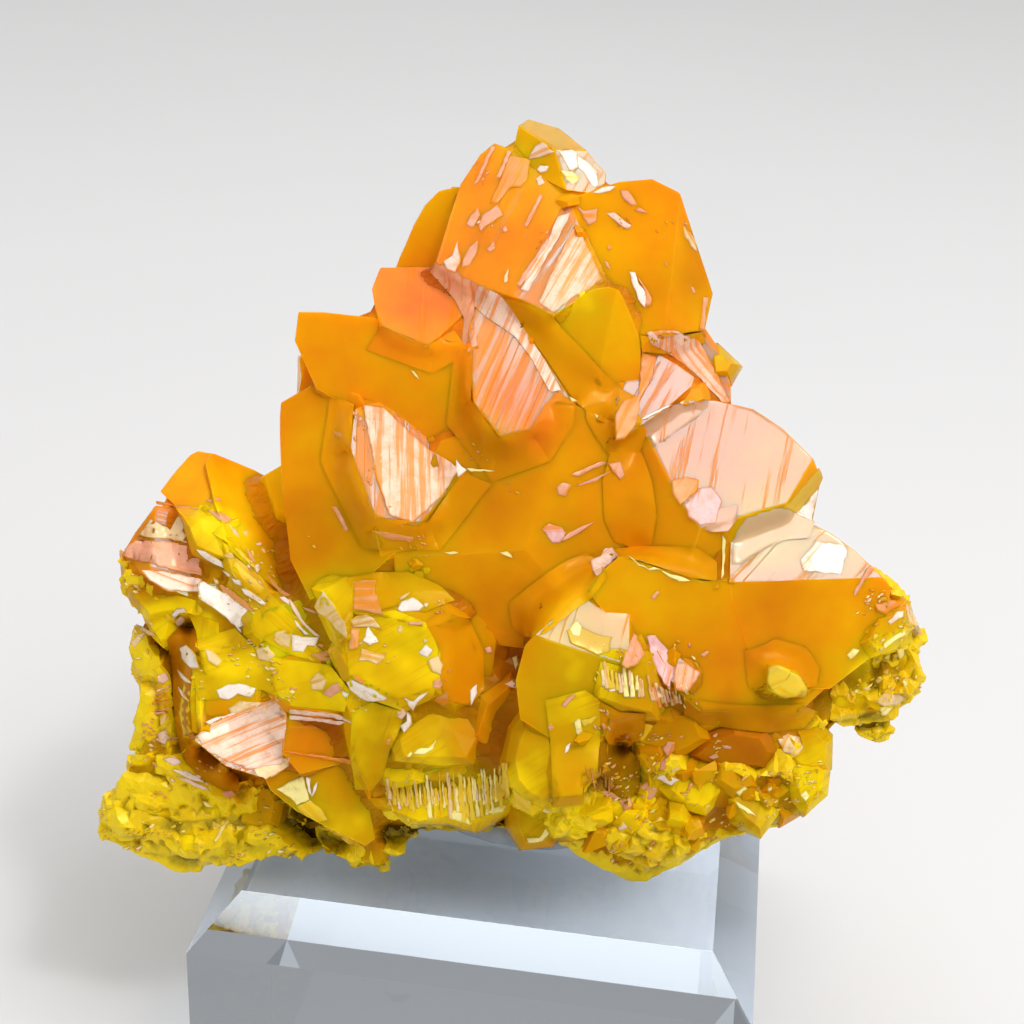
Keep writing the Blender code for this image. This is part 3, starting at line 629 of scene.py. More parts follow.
# small crystals
class Pile:
    def __init__(self):
        self.verts, self.faces, self.tone, self.shade, self.axis = [], [], [], [], []

    def add(self, points, sides, tone, shade, axis):
        start = len(self.verts)
        self.verts.extend(points)
        self.faces.extend([[i + start for i in side] for side in sides])
        self.tone.extend([tone] * len(points))
        self.shade.extend([shade] * len(points))
        self.axis.extend([c for _ in sides for c in axis])

    def mesh(self, name):
        mesh = bpy.data.meshes.new(name)
        mesh.from_pydata(self.verts, [], self.faces)
        for key, kind, domain, field, values in (
                ("tone", "FLOAT", "POINT", "value", self.tone),
                ("shade", "FLOAT", "POINT", "value", self.shade),
                ("stripeAxis", "FLOAT_VECTOR", "FACE", "vector", self.axis)):
            mesh.attributes.new(key, kind, domain).data.foreach_set(field, values)
        return mesh


# corners and faces of a finished small form
def shapeOf(bm):
    bmesh.ops.recalc_face_normals(bm, faces=bm.faces)
    bm.verts.index_update()
    shape = [v.co.copy() for v in bm.verts], [[v.index for v in f.verts] for f in bm.faces]
    bm.free()
    return shape


def shardShapes(seed, count):
    chance = random.Random(seed)
    shapes = []
    for _ in range(count):
        bm = bmesh.new()
        bmesh.ops.create_cube(bm, size=2.4)
        planes = [(Vector((chance.gauss(0, 0.1), chance.gauss(0, 0.1), 1)).normalized(),
                   chance.uniform(0.2, 0.5))]
        turn = chance.uniform(0, 6.28)
        for _ in range(chance.choice((5, 6, 7))):
            turn += chance.uniform(0.6, 1.5)
            lean = chance.uniform(-0.1, 1.3)
            planes.append((Vector((math.cos(turn), math.sin(turn), lean)).normalized(),
                           chance.uniform(0.4, 1.0)))
        for normal, height in planes:
            whole = bm.verts[:] + bm.edges[:] + bm.faces[:]
            cut = bmesh.ops.bisect_plane(bm, geom=whole, plane_co=normal * height,
                                         plane_no=normal, clear_outer=True)
            edges = [g for g in cut["geom_cut"] if isinstance(g, bmesh.types.BMEdge)]
            bmesh.ops.holes_fill(bm, edges=edges, sides=0)
        shapes.append(shapeOf(bm))
    return shapes


def addShard(pile, shape, at, top, size, spin, tone, stretch, squash):
    side = top.orthogonal().normalized()
    side.rotate(Matrix.Rotation(spin, 3, top))
    other = top.cross(side)
    points, sides = shape
    placed = [at + (side * p.x * stretch + other * p.y + top * p.z * squash) * size * 0.5
              for p in points]
    pile.add(placed, sides, tone, toneAt(at)[1], side)


def nearBox(point, low, high, spare):
    return all(a - spare <= c <= b + spare for c, a, b in zip(point, low, high))


junctionSettings = {"step": 1.9, "skipped": 0.65, "size": (0.4, 1.3)}

# groups of small crystals round a picture point: half width and half height of the patch in
# pixels, number, size (mm) and tone
crystalPatches = {
    "underRight": dict(at=(740, 722), patch=(80, 18), count=10, size=(0.8, 2.2), tone=0.6),
    "olives": dict(at=(575, 765), patch=(50, 45), count=6, size=(1.0, 2.6), tone=0.86),
    "footMiddle": dict(at=(660, 805), patch=(75, 50), count=46, size=(0.5, 1.7), tone=0.86),
    "footRight": dict(at=(780, 785), patch=(36, 34), count=14, size=(0.6, 1.9), tone=0.88),
    "leftRidge": dict(at=(212, 690), patch=(20, 40), count=6, size=(0.6, 1.4), tone=1.0),
    "debris": dict(at=(416, 566), patch=(22, 10), count=8, size=(0.4, 1.0), tone=0.95),
}


def smallCrystals(cluster, rock):
    chance = random.Random(21)
    shapes = shardShapes(5, 16)
    pile = Pile()
    bm = nodeMesh("orpiment_crystals")
    low, high = cadBox
    for e in list(bm.edges):
        if len(e.link_faces) != 2 or e.is_convex or e.calc_length() < 0.8 * mm:
            continue
        if e.calc_face_angle() < math.radians(18):
            continue
        first, second = (v.co for v in e.verts)
        outward = (e.link_faces[0].normal + e.link_faces[1].normal).normalized()
        count = max(1, int(e.calc_length() / (junctionSettings["step"] * mm)))
        for k in range(count):
            if chance.random() < junctionSettings["skipped"]:
                continue
            at = first.lerp(second, (k + chance.random()) / count)
            size = sizeWithin(junctionSettings["size"], chance, 1.8) * mm
            if not nearBox(at, low, high, -size):
                continue
            if chance.random() < 0.7:
                top = e.link_faces[chance.randrange(2)].normal.copy()
                top = (top + anyWay(chance, 0.06)).normalized()
            else:
                top = (outward + anyWay(chance, 0.35)).normalized()
            addShard(pile, chance.choice(shapes), at - outward * size * 0.02, top, size,
                     chance.uniform(0, 6.28), toneAt(at)[0] + chance.uniform(-0.08, 0.12),
                     chance.uniform(1.0, 1.7), chance.uniform(0.6, 1.0))
    bm.free()
    junctions = len(pile.faces)
    graph = bpy.context.evaluated_depsgraph_get()
    trees = [BVHTree.FromObject(piece, graph) for piece in (cluster, rock)]
    for spec in crystalPatches.values():
        for _ in range(spec["count"]):
            turn, out = chance.uniform(0, 6.28), chance.random() ** 0.6
            x = spec["at"][0] + math.cos(turn) * out * spec["patch"][0]
            y = spec["at"][1] + math.sin(turn) * out * spec["patch"][1]
            hits = [tree.ray_cast(eye, sight(x, y).normalized()) for tree in trees]
            hits = [h for h in hits if h[0] is not None]
            if not hits:
                continue
            at, normal, _, _ = min(hits, key=lambda h: h[3])
            size = sizeWithin(spec["size"], chance, 1.7) * mm
            top = (normal + backAxis * 0.3 + anyWay(chance, 0.4)).normalized()
            tone = 0.3 * spec["tone"] + 0.7 * toneAt(at)[0] + chance.uniform(-0.08, 0.08)
            addShard(pile, chance.choice(shapes), at - normal * size * 0.04, top, size,
                     chance.uniform(0, 6.28), tone, chance.uniform(1.0, 1.6), chance.uniform(0.6, 1.0))
    print("  junction faces", junctions, "all", len(pile.faces))
    return adopt("small_crystals", pile.mesh("small_crystals"))


# traced facets
# kinds of flake: colour painted over the body and how much of it covers the body, tone of the body under
# it, and share of grooves; white, bright, pink, fan, striped, lilac, cream, peach and glint paint a
# reflection or glint of the lamps, deep paints the shade of a pit, and gold, olive, amber and orange are
# the crystal's own colours
facetKinds = {
    "white": dict(shine=(1.0, 0.90, 0.80), cover=0.96, tone=0.7, grooves=0.12),
    "bright": dict(shine=(0.95, 0.70, 0.58), cover=0.90, tone=0.6, grooves=0.2),
    "pink": dict(shine=(0.88, 0.44, 0.32), cover=0.78, tone=0.4, grooves=0.3),
    "fan": dict(shine=(0.90, 0.66, 0.52), cover=0.92, tone=0.4, grooves=0.26),
    "striped": dict(shine=(0.90, 0.63, 0.48), cover=0.86, tone=0.4, grooves=0.45),
    "lilac": dict(shine=(0.85, 0.52, 0.56), cover=0.85, tone=0.3, grooves=0.2),
    "cream": dict(shine=(0.92, 0.66, 0.38), cover=0.85, tone=0.9, grooves=0.3),
    "peach": dict(shine=(0.88, 0.38, 0.20), cover=0.62, tone=0.45, grooves=0.4),
    "glint": dict(shine=(1.0, 0.88, 0.34), cover=0.92, tone=1.0, grooves=0.1),
    "gold": dict(shine=(0.95, 0.62, 0.02), cover=0.75, tone=1.0, grooves=0.3),
    "olive": dict(shine=(0.62, 0.40, 0.01), cover=0.6, tone=0.86, grooves=0.2),
    "amber": dict(shine=(0.76, 0.34, 0.01), cover=0.5, tone=0.72, grooves=0.2),
    "orange": dict(shine=(0.86, 0.31, 0.01), cover=0.5, tone=0.52, grooves=0.2),
    "deep": dict(shine=(0.55, 0.18, 0.01), cover=0.6, tone=0.30, grooves=0.2),
}

# body facets: kind, slopes (right, up), picture outline
bodyFacets = [
    ("olive", (0.1, 0.3), "352 612 32 3 46 13 10 22 0 30 -15 12 -30 8 -23 -14 -22 -10 -9 -21 8 -15"),
    ("amber", (0.0, 0.5), "321 591 24 -15 21 -7 34 2 32 17 25 28 -27 12 -46 -13 -32 -3 -6 24 -12 -26"),
    ("orange", (0.6, 0.0), "430 628 27 -12 15 24 10 28 -6 32 -21 6 -19 -16 4 -40"),
    ("amber", (0.1, -0.2), "350 676 22 10 23 14 15 15 -10 30 -20 17 -12 28 -12 -30 -3 -38 -8 -22"),
    ("orange", (0.0, 0.2), "272 662 38 -12 32 7 8 23 -4 25 6 11 -32 -4 -30 -6 -15 -14"),
    ("olive", (-0.1, 0.3), "252 612 16 -12 22 10 10 15 -8 9 -17 -2 -13 8 -10 -8"),
    ("amber", (0.0, 0.2), "200 650 14 0 36 -8 6 23 6 25 -22 -8 -18 2 -17 -12"),
    ("gold", (-0.3, 0.1), "189 612 18 6 10 7 -2 23 -11 4 -4 16 -3 22 -5 -18 8 -20 -4 -22"),
    ("olive", (0.3, 0.3), "224 545 16 5 14 16 14 24 17 14 15 26 -8 4 -24 -28 -23 -16 -13 -15"),
    ("olive", (0.2, 0.4), "181 514 19 5 26 5 10 21 -14 11 -17 -6 -8 -4 -7 -19"),
    ("gold", (-0.2, 0.1), "193 676 22 -8 25 12 18 10 -2 16 -25 10 -19 11 -12 6 -10 -3 -2 -18"),
    ("gold", (-0.3, 0.3), "123 560 14 10 23 13 15 11 21 6 -6 12 -20 -4 -20 4 -10 -12 -10 -10"),
    ("gold", (-0.2, 0.0), "142 590 18 0 12 12 -4 20 -3 12 -5 4 -7 -10 -7 -20"),
    ("amber", (0.1, 0.0), "242 790 12 -5 14 3 5 12 -3 20 -14 3 -13 -3"),
    ("amber", (0.3, 0.0), "353 762 19 3 13 10 -5 25 -8 12 -10 -22"),
    ("olive", (0.1, 0.4), "405 756 -5 -16 18 -18 22 -16 48 0 -3 16 -20 35 -25 -1"),
    ("gold", (-0.3, 0.2), "385 764 10 -9 10 1 10 14 -3 8 -20 2 -8 -7"),
    ("amber", (0.0, -0.4), "405 756 35 0 25 1 -10 15 -15 4 -28 2 -2 -10"),
    ("orange", (0.5, -0.2), "488 706 20 -16 17 10 -5 35 -20 17 -17 -10 -5 -7"),
    ("gold", (0.0, 0.1), "378 798 17 -8 32 -9 25 -5 18 9 15 -15 7 -16 8 0 7 21 4 27 -11 10 -20 8 -11 5 "
        "-19 -10 -30 5 -20 -8 -15 -6"),
    ("gold", (-0.1, 0.1), "529 722 7 -6 8 2 6 27 5 20 -2 25 -13 8 -12 -8 -10 -12 -2 -16 4 -20"),
    ("gold", (-0.3, 0.3), "516 764 9 -4 10 14 5 24 -10 8 -10 -9 -7 -17"),
    ("olive", (0.0, 0.1), "517 811 13 1 15 3 5 13 -5 12 -19 2 -6 -14"),
    ("olive", (0.1, 0.3), "550 722 25 -2 25 -4 6 16 -9 13 0 20 -15 10 1 20 -23 2 -7 -27 3 -25"),
    ("gold", (0.1, 0.2), "678 776 22 -10 22 -1 -2 25 -16 16 -18 -5 -14 -11"),
    ("amber", (0.1, 0.3), "722 766 28 2 2 17 -17 3 -13 -8"),
    ("gold", (0.1, 0.3), "733 800 12 -13 20 5 7 18 -12 18 -15 -13"),
    ("gold", (0.2, 0.2), "793 770 7 -8 15 3 8 7 -3 18 -12 16 -8 -14"),
    ("orange", (0.3, -0.2), "770 780 20 -5 10 17 6 14 -21 12 -10 -18"),
    ("olive", (0.3, 0.2), "800 735 15 -2 10 12 0 20 -13 0 -12 -3 -5 -5 9 -9"),
    ("deep", (-0.2, -0.5), "697 756 15 -14 23 -7 25 3 8 14 -8 14 -25 -4 -20 2"),
    ("gold", (0.1, 0.1), "600 650 22 2 24 12 6 26 0 22 -27 -6 -25 -8"),
    ("amber", (0.2, 0.0), "648 670 20 14 22 14 -2 18 -20 4 -16 -8"),
    ("amber", (-0.3, 0.1), "640 712 50 4 10 22 -24 12 -36 -8"),
    ("orange", (0.2, 0.2), "677 391 23 -3 3 12 -13 5 -12 -1"),
    ("gold", (0.2, 0.3), "715 357 7 -2 9 9 -4 7 -10 0"),
    ("gold", (0.2, 0.2), "880 622 24 -10 2 18 -13 10 -15 10 -10 -10"),
]

# shining facets: kind, stripe angle, picture outline; their pale kinds paint the lamps' reflection
shiningFacets = [
    ("striped", 131, "646 332 14 -2 18 1 20 9 9 15 8 15 9 18 6 14 -8 1 -14 -15 -15 -16 -21 -16 -20 -11"),
    ("gold", 20, "768 668 10 -3 12 6 -4 13 -14 6 -4 -6"),
    ("gold", -30, "790 671 10 6 8 11 -2 9 -20 2 -14 -9 14 -6"),
    ("olive", 70, "566 630 14 -4 18 8 14 3 -2 15 -12 4 -14 -7 -14 -6"),
    ("cream", 25, "323 590 -9 17 4 6 10 7 13 14 6 5 -2 -17 -7 -10 -8 -12"),
    ("peach", 0, "353 581 23 -2 -1 17 -2 8 11 11 -7 -1 -24 -4"),
    ("cream", 10, "351 620 6 -4 9 -2 8 4 8 12 -9 -3 -21 0"),
    ("peach", 80, "351 628 9 0 -2 20 -9 2 0 -10"),
    ("white", 0, "368 626 -6 15 8 5 9 -4 -5 -8"),
    ("cream", -15, "361 648 25 7 -4 7 -5 3 -10 -4 -9 0"),
    ("white", -30, "346 682 6 -3 10 5 10 4 16 10 -4 3 -15 1 -11 -5 -8 -7"),
    ("pink", -35, "354 674 12 7 -4 3 -9 -6"),
    ("white", 20, "397 609 4 -8 12 -4 11 9 -4 5 -20 1"),
    ("cream", 25, "399 598 11 -6 -3 5 -7 4"),
    ("cream", 0, "424 602 5 1 -2 5 -4 -2"),
    ("cream", 0, "396 630 4 -6 4 4 -4 6"),
    ("pink", 0, "408 622 16 -1 -1 4 -14 0"),
    ("bright", -20, "421 636 15 4 -6 2 -6 -4 -1 6 -3 -4"),
    ("white", 30, "418 652 8 -8 7 6 -5 8 -8 -3"),
    ("cream", -70, "428 660 10 -5 5 10 -2 10 -9 -3"),
    ("pink", 0, "433 682 7 -4 3 6 -3 5 -8 -2"),
    ("white", 35, "403 697 9 5 8 -7 8 -3 -10 11 -5 8 -5 -5"),
    ("bright", 60, "397 712 6 -4 4 5 -5 7 -5 -3"),
    ("white", 70, "407 711 4 5 1 8 -8 9 -4 -7 7 -5"),
    ("pink", 0, "386 740 5 -2 -2 8 -4 -2"),
    ("peach", 10, "433 700 14 -8 2 11 -6 3 -7 -4"),
    ("white", 75, "470 690 7 -6 1 9 -4 7 -3 6 -1 -8"),
    ("pink", -40, "484 648 6 -2 3 6 -6 2"),
    ("cream", 20, "310 680 8 -8 9 8 -5 10 -10 0"),
    ("pink", 30, "327 688 11 -6 4 8 -12 8 -8 -4"),
    ("white", -20, "342 690 8 4 -4 4 -4 -3"),
    ("peach", -10, "310 655 20 -5 12 7 -10 5 -14 -2"),
    ("white", -5, "291 634 17 3 12 0 -4 9 -13 -1 1 8 -12 -2"),
    ("cream", -40, "275 632 10 -3 6 5 -1 14 -10 -2 -7 -6"),
    ("cream", -40, "255 648 13 -3 7 10 -5 7 -12 -2"),
    ("pink", -20, "302 607 12 3 6 5 -11 -3"),
    ("bright", -50, "289 598 4 5 8 15 11 12 9 7 -5 0 -16 -15 -9 -15"),
    ("white", -50, "294 619 8 9 7 7 -4 0 -9 -9"),
    ("white", -30, "279 597 5 -1 8 5 -2 5 -7 -4"),
    ("peach", -50, "266 573 14 15 11 8 -7 0 -13 -13"),
    ("pink", -15, "205 500 8 -1 1 4 -7 -1"),
    ("pink", -30, "213 497 6 0 3 5 -4 0"),
    ("pink", -35, "207 510 13 1 12 8 -6 4 -12 -6"),
    ("cream", -50, "228 523 8 6 4 9 -6 -3"),
    ("pink", -50, "234 538 8 3 6 6 -7 2 -5 -5"),
    ("pink", -60, "246 548 4 4 6 11 -4 -2 -5 -8"),
    ("white", 0, "254 566 4 -3 3 6 -4 4"),
    ("cream", -30, "243 530 6 1 -1 6 -4 -2"),
    ("white", -35, "196 549 9 2 9 6 8 5 2 6 -8 -3 -12 -7"),
    ("white", -40, "222 570 9 5 3 3 -6 -1"),
    ("white", -40, "231 577 9 3 2 6 -8 -2"),
    ("white", -40, "241 588 9 3 8 6 9 7 -5 1 -10 -6 -8 -5"),
    ("cream", -30, "223 555 8 -3 4 6 -7 1"),
    ("cream", -60, "213 577 4 1 2 6 -4 0"),
    ("peach", -42, "218 583 12 7 15 11 10 11 -5 0 -13 -10 -15 -11"),
    ("white", -38, "199 583 4 -2 13 7 12 6 17 13 9 6 -3 10 3 7 -4 10 -12 -10 -13 -13 -13 -10 -13 -8"),
    ("white", -30, "179 648 7 -3 9 10 4 13 -9 0 -9 -10"),
    ("white", -42, "177 669 6 5 8 9 -4 0 -7 -6"),
    ("white", -50, "178 686 5 6 5 9 -4 -2 -5 -8"),
    ("cream", -40, "205 649 7 1 10 10 -4 7 -10 -6"),
    ("white", 15, "171 615 5 -6 8 -1 3 4 -7 1 -6 6"),
    ("bright", 15, "175 622 6 -6 6 3 -4 5 -5 3"),
    ("peach", -4, "156 501 19 5 25 2 3 3 -23 -3 -23 -4"),
    ("fan", 22, "195 736 20 -13 22 -11 36 -14 14 16 -2 26 -3 25 -32 5 -31 -12 -19 -11"),
    ("white", 15, "216 690 12 -6 12 -1 16 5 -4 9 -14 -3 -10 6 -9 -2"),
    ("cream", 20, "231 716 19 -4 12 -9 -22 -3 -12 8"),
    ("white", 18, "205 722 15 -6 16 -3 -8 6 -18 7"),
    ("bright", -4, "289 709 31 3 20 3 13 8 -8 -3 -25 -4 -31 -3"),
    ("bright", -4, "289 715 31 3 26 4 -6 3 -25 -4 -26 -2"),
    ("peach", -5, "284 751 36 4 35 5 -3 5 -22 -5"),
    ("cream", 20, "252 770 16 -6 15 -7 7 0 -1 9 -9 6 -15 9 -9 -4"),
    ("glint", -50, "276 789 19 -10 8 -3 3 10 4 14 -13 6 -7 -8"),
    ("gold", -45, "296 806 14 -6 10 8 8 12 -10 3 -12 -6"),
    ("glint", -45, "306 808 10 -2 10 11 -8 4"),
    ("gold", -38, "318 823 10 -3 12 10 12 9 14 8 -16 -2 -17 -12"),
    ("white", -80, "306 776 5 2 -1 8 2 11 -4 -5"),
    ("white", 70, "313 787 5 -6 -2 10 -5 7"),
    ("glint", -15, "202 801 6 1 5 6 -7 -1"),
    ("pink", 10, "221 791 11 -1 4 5 -6 4 -6 -3"),
    ("glint", 50, "214 842 7 -16 8 -7 -5 11 -7 11"),
    ("bright", -20, "163 759 12 -3 7 7 -10 3"),
    ("white", -25, "172 769 13 1 13 6 7 7 -10 -2 -15 -7"),
    ("bright", -25, "176 776 14 3 14 7 8 6 -14 -4 -14 -7"),
    ("bright", 10, "157 676 9 -4 4 8 -7 4 -5 -2"),
    ("cream", 30, "130 642 8 -8 8 -2 -4 8 -8 8"),
    ("cream", -30, "136 624 10 5 10 7 -8 -1 -10 -6"),
    ("bright", 20, "158 733 8 -4 5 9 -6 7 -7 -3"),
    ("cream", 60, "160 718 7 -5 -1 9 -5 5"),
    ("glint", 30, "413 754 7 -6 11 0 6 -9 -3 10 -10 6"),
    ("glint", 40, "406 757 5 -6 2 2 -3 4"),
    ("glint", -50, "389 795 5 -4 5 11 -3 4 -5 -5"),
    ("glint", -20, "447 812 11 -4 10 8 3 9 -11 -3 -10 -4"),
    ("glint", 15, "486 812 11 -6 10 -2 -4 8 -11 2"),
    ("gold", -60, "513 788 9 8 9 6 -1 7 -12 1 -4 -10"),
    ("glint", 0, "526 838 14 0 6 -10 4 5 -7 8 -15 2"),
    ("glint", 0, "540 809 8 -1 3 5 -7 0"),
    ("glint", -70, "574 721 6 -3 2 10 2 12 -8 -6"),
    ("gold", 15, "580 720 18 -4 -6 8 -9 3"),
    ("white", 60, "564 754 2 -9 5 -3 -3 10"),
    ("pink", 35, "561 705 7 -8 9 -3 -7 8 -6 6"),
    ("pink", 0, "547 725 5 -2 2 6 -5 2"),
    ("glint", -75, "512 657 5 -2 4 16 -5 0"),
    ("bright", 0, "504 684 9 -5 5 5 -3 4 -8 -2"),
    ("glint", 60, "569 629 8 -9 5 6 -2 12 -8 -2"),
    ("pink", 65, "634 633 6 7 5 15 -9 10 -9 3 -5 -4 6 -19"),
    ("lilac", 70, "646 636 9 -1 9 10 8 10 2 13 -4 20 -6 -4 -8 -16 -4 -12"),
    ("pink", 75, "676 662 9 0 15 10 -3 8 -10 12 -12 -3 -2 -9"),
    ("white", 0, "608 690 6 -7 6 1 -2 7 -8 1"),
    ("cream", -40, "616 676 8 4 4 8 -6 -2"),
    ("bright", 45, "700 655 7 -5 3 2 -6 6"),
    ("pink", 40, "650 598 7 -8 3 2 -6 8"),
    ("glint", -45, "410 369 4 2 6 9 -5 -3"),
    ("peach", -30, "333 430 9 3 0 5 -7 -2"),
    ("pink", -60, "331 506 5 0 7 11 6 13 -4 2 -7 -13"),
    ("peach", -6, "372 531 18 2 24 4 -1 4 -25 -1"),
    ("striped", 91, "363 405 20 2 44 41 33 20 -16 26 -31 29 -24 -8 -13 -38"),
    ("white", 0, "456 459 11 11 -9 8 -3 -8"),
    ("glint", 0, "466 468 17 1 13 2 -26 1"),
    ("pink", 50, "556 487 7 -5 9 3 -6 12 -8 -2"),
    ("pink", 22, "570 475 15 -7 18 -7 4 2 -17 8 -12 6"),
    ("pink", 20, "574 486 14 -3 12 -5 12 -8 5 4 -14 8 -15 6"),
    ("pink", 60, "608 463 12 -2 5 14 -5 5 -7 -8"),
    ("lilac", 0, "541 529 8 -6 13 4 4 6 -6 10 -8 0"),
    ("pink", 22, "561 542 6 -8 13 -7 15 -6 -15 12"),
    ("bright", 30, "590 560 10 -4 5 -8 7 -1 7 9 -11 10 -11 11 -5 -7"),
    ("glint", 0, "444 552 10 -1 5 2 -9 2"),
    ("glint", -20, "499 552 8 -1 6 7 -8 -2"),
    ("glint", -30, "627 555 9 5 9 1 11 7 6 2 -12 1 -12 -5"),
    ("glint", -15, "660 570 10 4 13 3 8 4 -11 1 -12 -5"),
    ("glint", 90, "722 534 4 6 -2 35 -3 5 1 -25"),
    ("glint", -30, "568 396 10 5 -6 1"),
    ("glint", -30, "594 413 9 5 -7 1"),
    ("peach", 60, "671 481 14 -5 14 4 -1 10 -10 10 -8 5 -8 -13"),
    ("lilac", 75, "684 505 16 -17 12 -1 10 13 -6 24 -16 2 -12 -9"),
    ("olive", 45, "783 508 7 -6 25 -29 4 -5 4 10 -6 11 -20 24"),
    ("white", 0, "818 489 -6 32 -16 -7"),
    ("white", 45, "800 560 16 -19 28 3 4 7 -7 24 -21 -2 -17 -2"),
    ("pink", 60, "870 565 3 2 -14 23 -6 7 2 -9"),
    ("peach", 28, "876 604 20 -4 4 6 -14 8 -8 -4"),
    ("bright", 28, "887 622 11 -11 6 0 0 6 -14 8"),
    ("glint", 28, "882 645 10 -8 13 -7 1 4 -11 7 -11 8"),
    ("peach", 62, "642 352 14 5 -3 21 -12 20 -4 24 -12 16 -9 2 -1 -25 8 -13 17 -6"),
    ("white", 25, "640 420 15 -9 18 -7 -13 8 -14 7"),
    ("peach", 64, "510 155 20 5 -3 20 -7 7 -10 0 -12 16 -8 0 13 -31"),
    ("pink", 62, "492 145 4 1 -18 37 -5 3"),
    ("pink", 62, "508 150 4 1 -12 27 -4 0"),
    ("pink", 60, "482 215 15 -10 6 10 -10 7 -13 10 -2 -7"),
    ("pink", 60, "470 215 8 -8 2 8 -8 13 -6 -3"),
    ("pink", 65, "462 262 8 -16 8 -6 -1 12 -7 13 -8 3"),
    ("bright", 75, "443 262 9 -7 6 -15 2 22 -5 10 -8 -2"),
    ("bright", 0, "448 281 7 -3 7 3 -6 3"),
    ("pink", 0, "502 228 4 -3 2 6 -5 2"),
    ("pink", 0, "486 250 8 -10 2 8 -6 5"),
    ("cream", 60, "503 278 6 -10 -1 14 -4 2"),
    ("pink", 58, "524 225 16 -32 3 3 -13 26 -4 6"),
    ("pink", 58, "516 285 14 -23 18 -24 2 2 -15 22 -15 25"),
    ("bright", 58, "520 290 8 2 17 -30 23 -42 2 -8 -12 4 -10 24 -18 30"),
    ("striped", 60, "577 222 25 57 -12 10 -17 9 -20 15 -15 -11 16 -36 14 -28"),
    ("cream", -12, "137 537 13 -18 21 11 8 -15 18 19 1 11 -31 -6"),
    ("pink", -10, "125 549 11 -9 31 1 31 8 4 27 -42 -9 -36 -11"),
    ("bright", -18, "141 570 24 1 37 8 -2 13 -32 -1 -19 -11"),
    ("white", 0, "558 151 14 -2 6 4 0 15 -8 4 -7 -12"),
    ("white", -50, "577 155 13 8 8 9 0 14 -4 2 -8 -10 -9 -11"),
    ("glint", 0, "560 170 12 1 8 7 -7 7 -7 -5"),
    ("bright", 20, "528 160 6 -13 8 -5 13 10 -10 4"),
    ("white", 0, "536 170 4 -5 9 1 -2 6 -7 1"),
    ("bright", 0, "535 178 6 -3 4 8 -7 4"),
    ("white", 15, "592 193 11 -6 13 -1 -5 5 -13 3"),
    ("pink", -50, "620 190 8 0 9 15 -5 1 -8 -6"),
    ("pink", -10, "634 210 6 -3 9 6 -7 0"),
    ("bright", -30, "606 213 8 -1 12 10 6 4 -4 4 -10 -6"),
    ("pink", 0, "575 205 15 10 8 -7 -2 14 -8 4"),
    ("pink", 0, "606 248 3 -4 3 4 -3 3"),
    ("pink", -60, "604 260 4 2 3 8 -5 -2"),
    ("white", -65, "629 271 6 1 5 13 7 10 -2 13 -7 -8 -6 -15"),
    ("pink", -65, "636 274 8 11 8 14 -1 6 -5 1 0 -12"),
    ("pink", 85, "703 297 5 0 -4 33 -5 0"),
    ("cream", -60, "683 225 7 7 7 13 0 8 -7 -7 -6 -10"),
    ("pink", 0, "664 262 3 1 0 5"),
    ("pink", -60, "690 286 3 1 3 7 -3 0"),
    ("cream", 60, "777 738 11 -5 12 4 4 11 -8 9 -13 -5"),
    ("white", -10, "655 778 7 -4 10 3 8 3 -8 6 -8 -3"),
    ("pink", 70, "662 748 6 -7 7 1 -1 8 -6 7"),
    ("pink", 70, "660 761 8 -5 -2 12 -6 3"),
    ("cream", 20, "672 769 8 -3 -5 7 -5 -1"),
    ("pink", 20, "640 786 10 -6 8 10 -6 10 -10 -2"),
    ("pink", 40, "618 801 12 -4 4 9 -10 6"),
    ("pink", 20, "600 790 12 2 10 7 -14 0"),
    ("bright", 0, "616 826 8 -4 4 6 -8 3"),
    ("pink", 10, "708 757 8 -4 3 4 -7 3"),
    ("pink", -10, "721 745 10 1 1 3 -8 0"),
    ("glint", 40, "735 792 10 -6 4 4 -9 7"),
    ("pink", -40, "756 787 8 5 3 6 -7 -2"),
    ("glint", -30, "735 801 10 5 12 11 -9 -3 -10 -7"),
    ("glint", 0, "800 795 6 -5 4 6 -4 6"),
    ("glint", 0, "846 655 7 -7 7 2 -5 7 -5 3"),
    ("glint", 40, "898 650 6 -2 1 8 -5 4"),
    ("glint", 0, "903 681 5 -1 0 6 -4 1"),
    ("cream", 15, "876 701 9 -8 15 1 5 4 -8 7 -15 2"),
    ("glint", 30, "880 708 13 -1 -5 8 -6 1"),
    ("cream", -65, "906 604 5 2 12 28 -9 2 -5 -14"),
]

# rows of fibres: line of their tops, line of their ends, number, width in pixels, kinds, whose pale ones
# paint glints
fibreRows = [
    ((384, 778), (420, 771), (388, 806), (424, 818), 13, 3.4, ("glint", "gold", "cream", "gold")),
    ((420, 774), (465, 767), (424, 818), (468, 823), 16, 3.6, ("glint", "gold", "gold", "cream")),
    ((462, 774), (507, 760), (468, 823), (508, 808), 16, 3.6, ("glint", "gold", "glint", "gold")),
    ((385, 795), (506, 778), (390, 812), (507, 806), 26, 2.6, ("glint", "bright", "gold")),
    ((644, 672), (680, 694), (654, 711), (683, 708), 11, 4.2, ("pink", "cream", "cream", "peach")),
    ((598, 658), (644, 668), (602, 690), (646, 706), 13, 4.4, ("cream", "gold", "glint", "cream")),
    ((170, 682), (172, 714), (147, 692), (152, 716), 7, 1.8, ("pink", "orange", "bright")),
    ((584, 764), (614, 770), (592, 795), (612, 796), 8, 1.8, ("peach", "orange")),
]


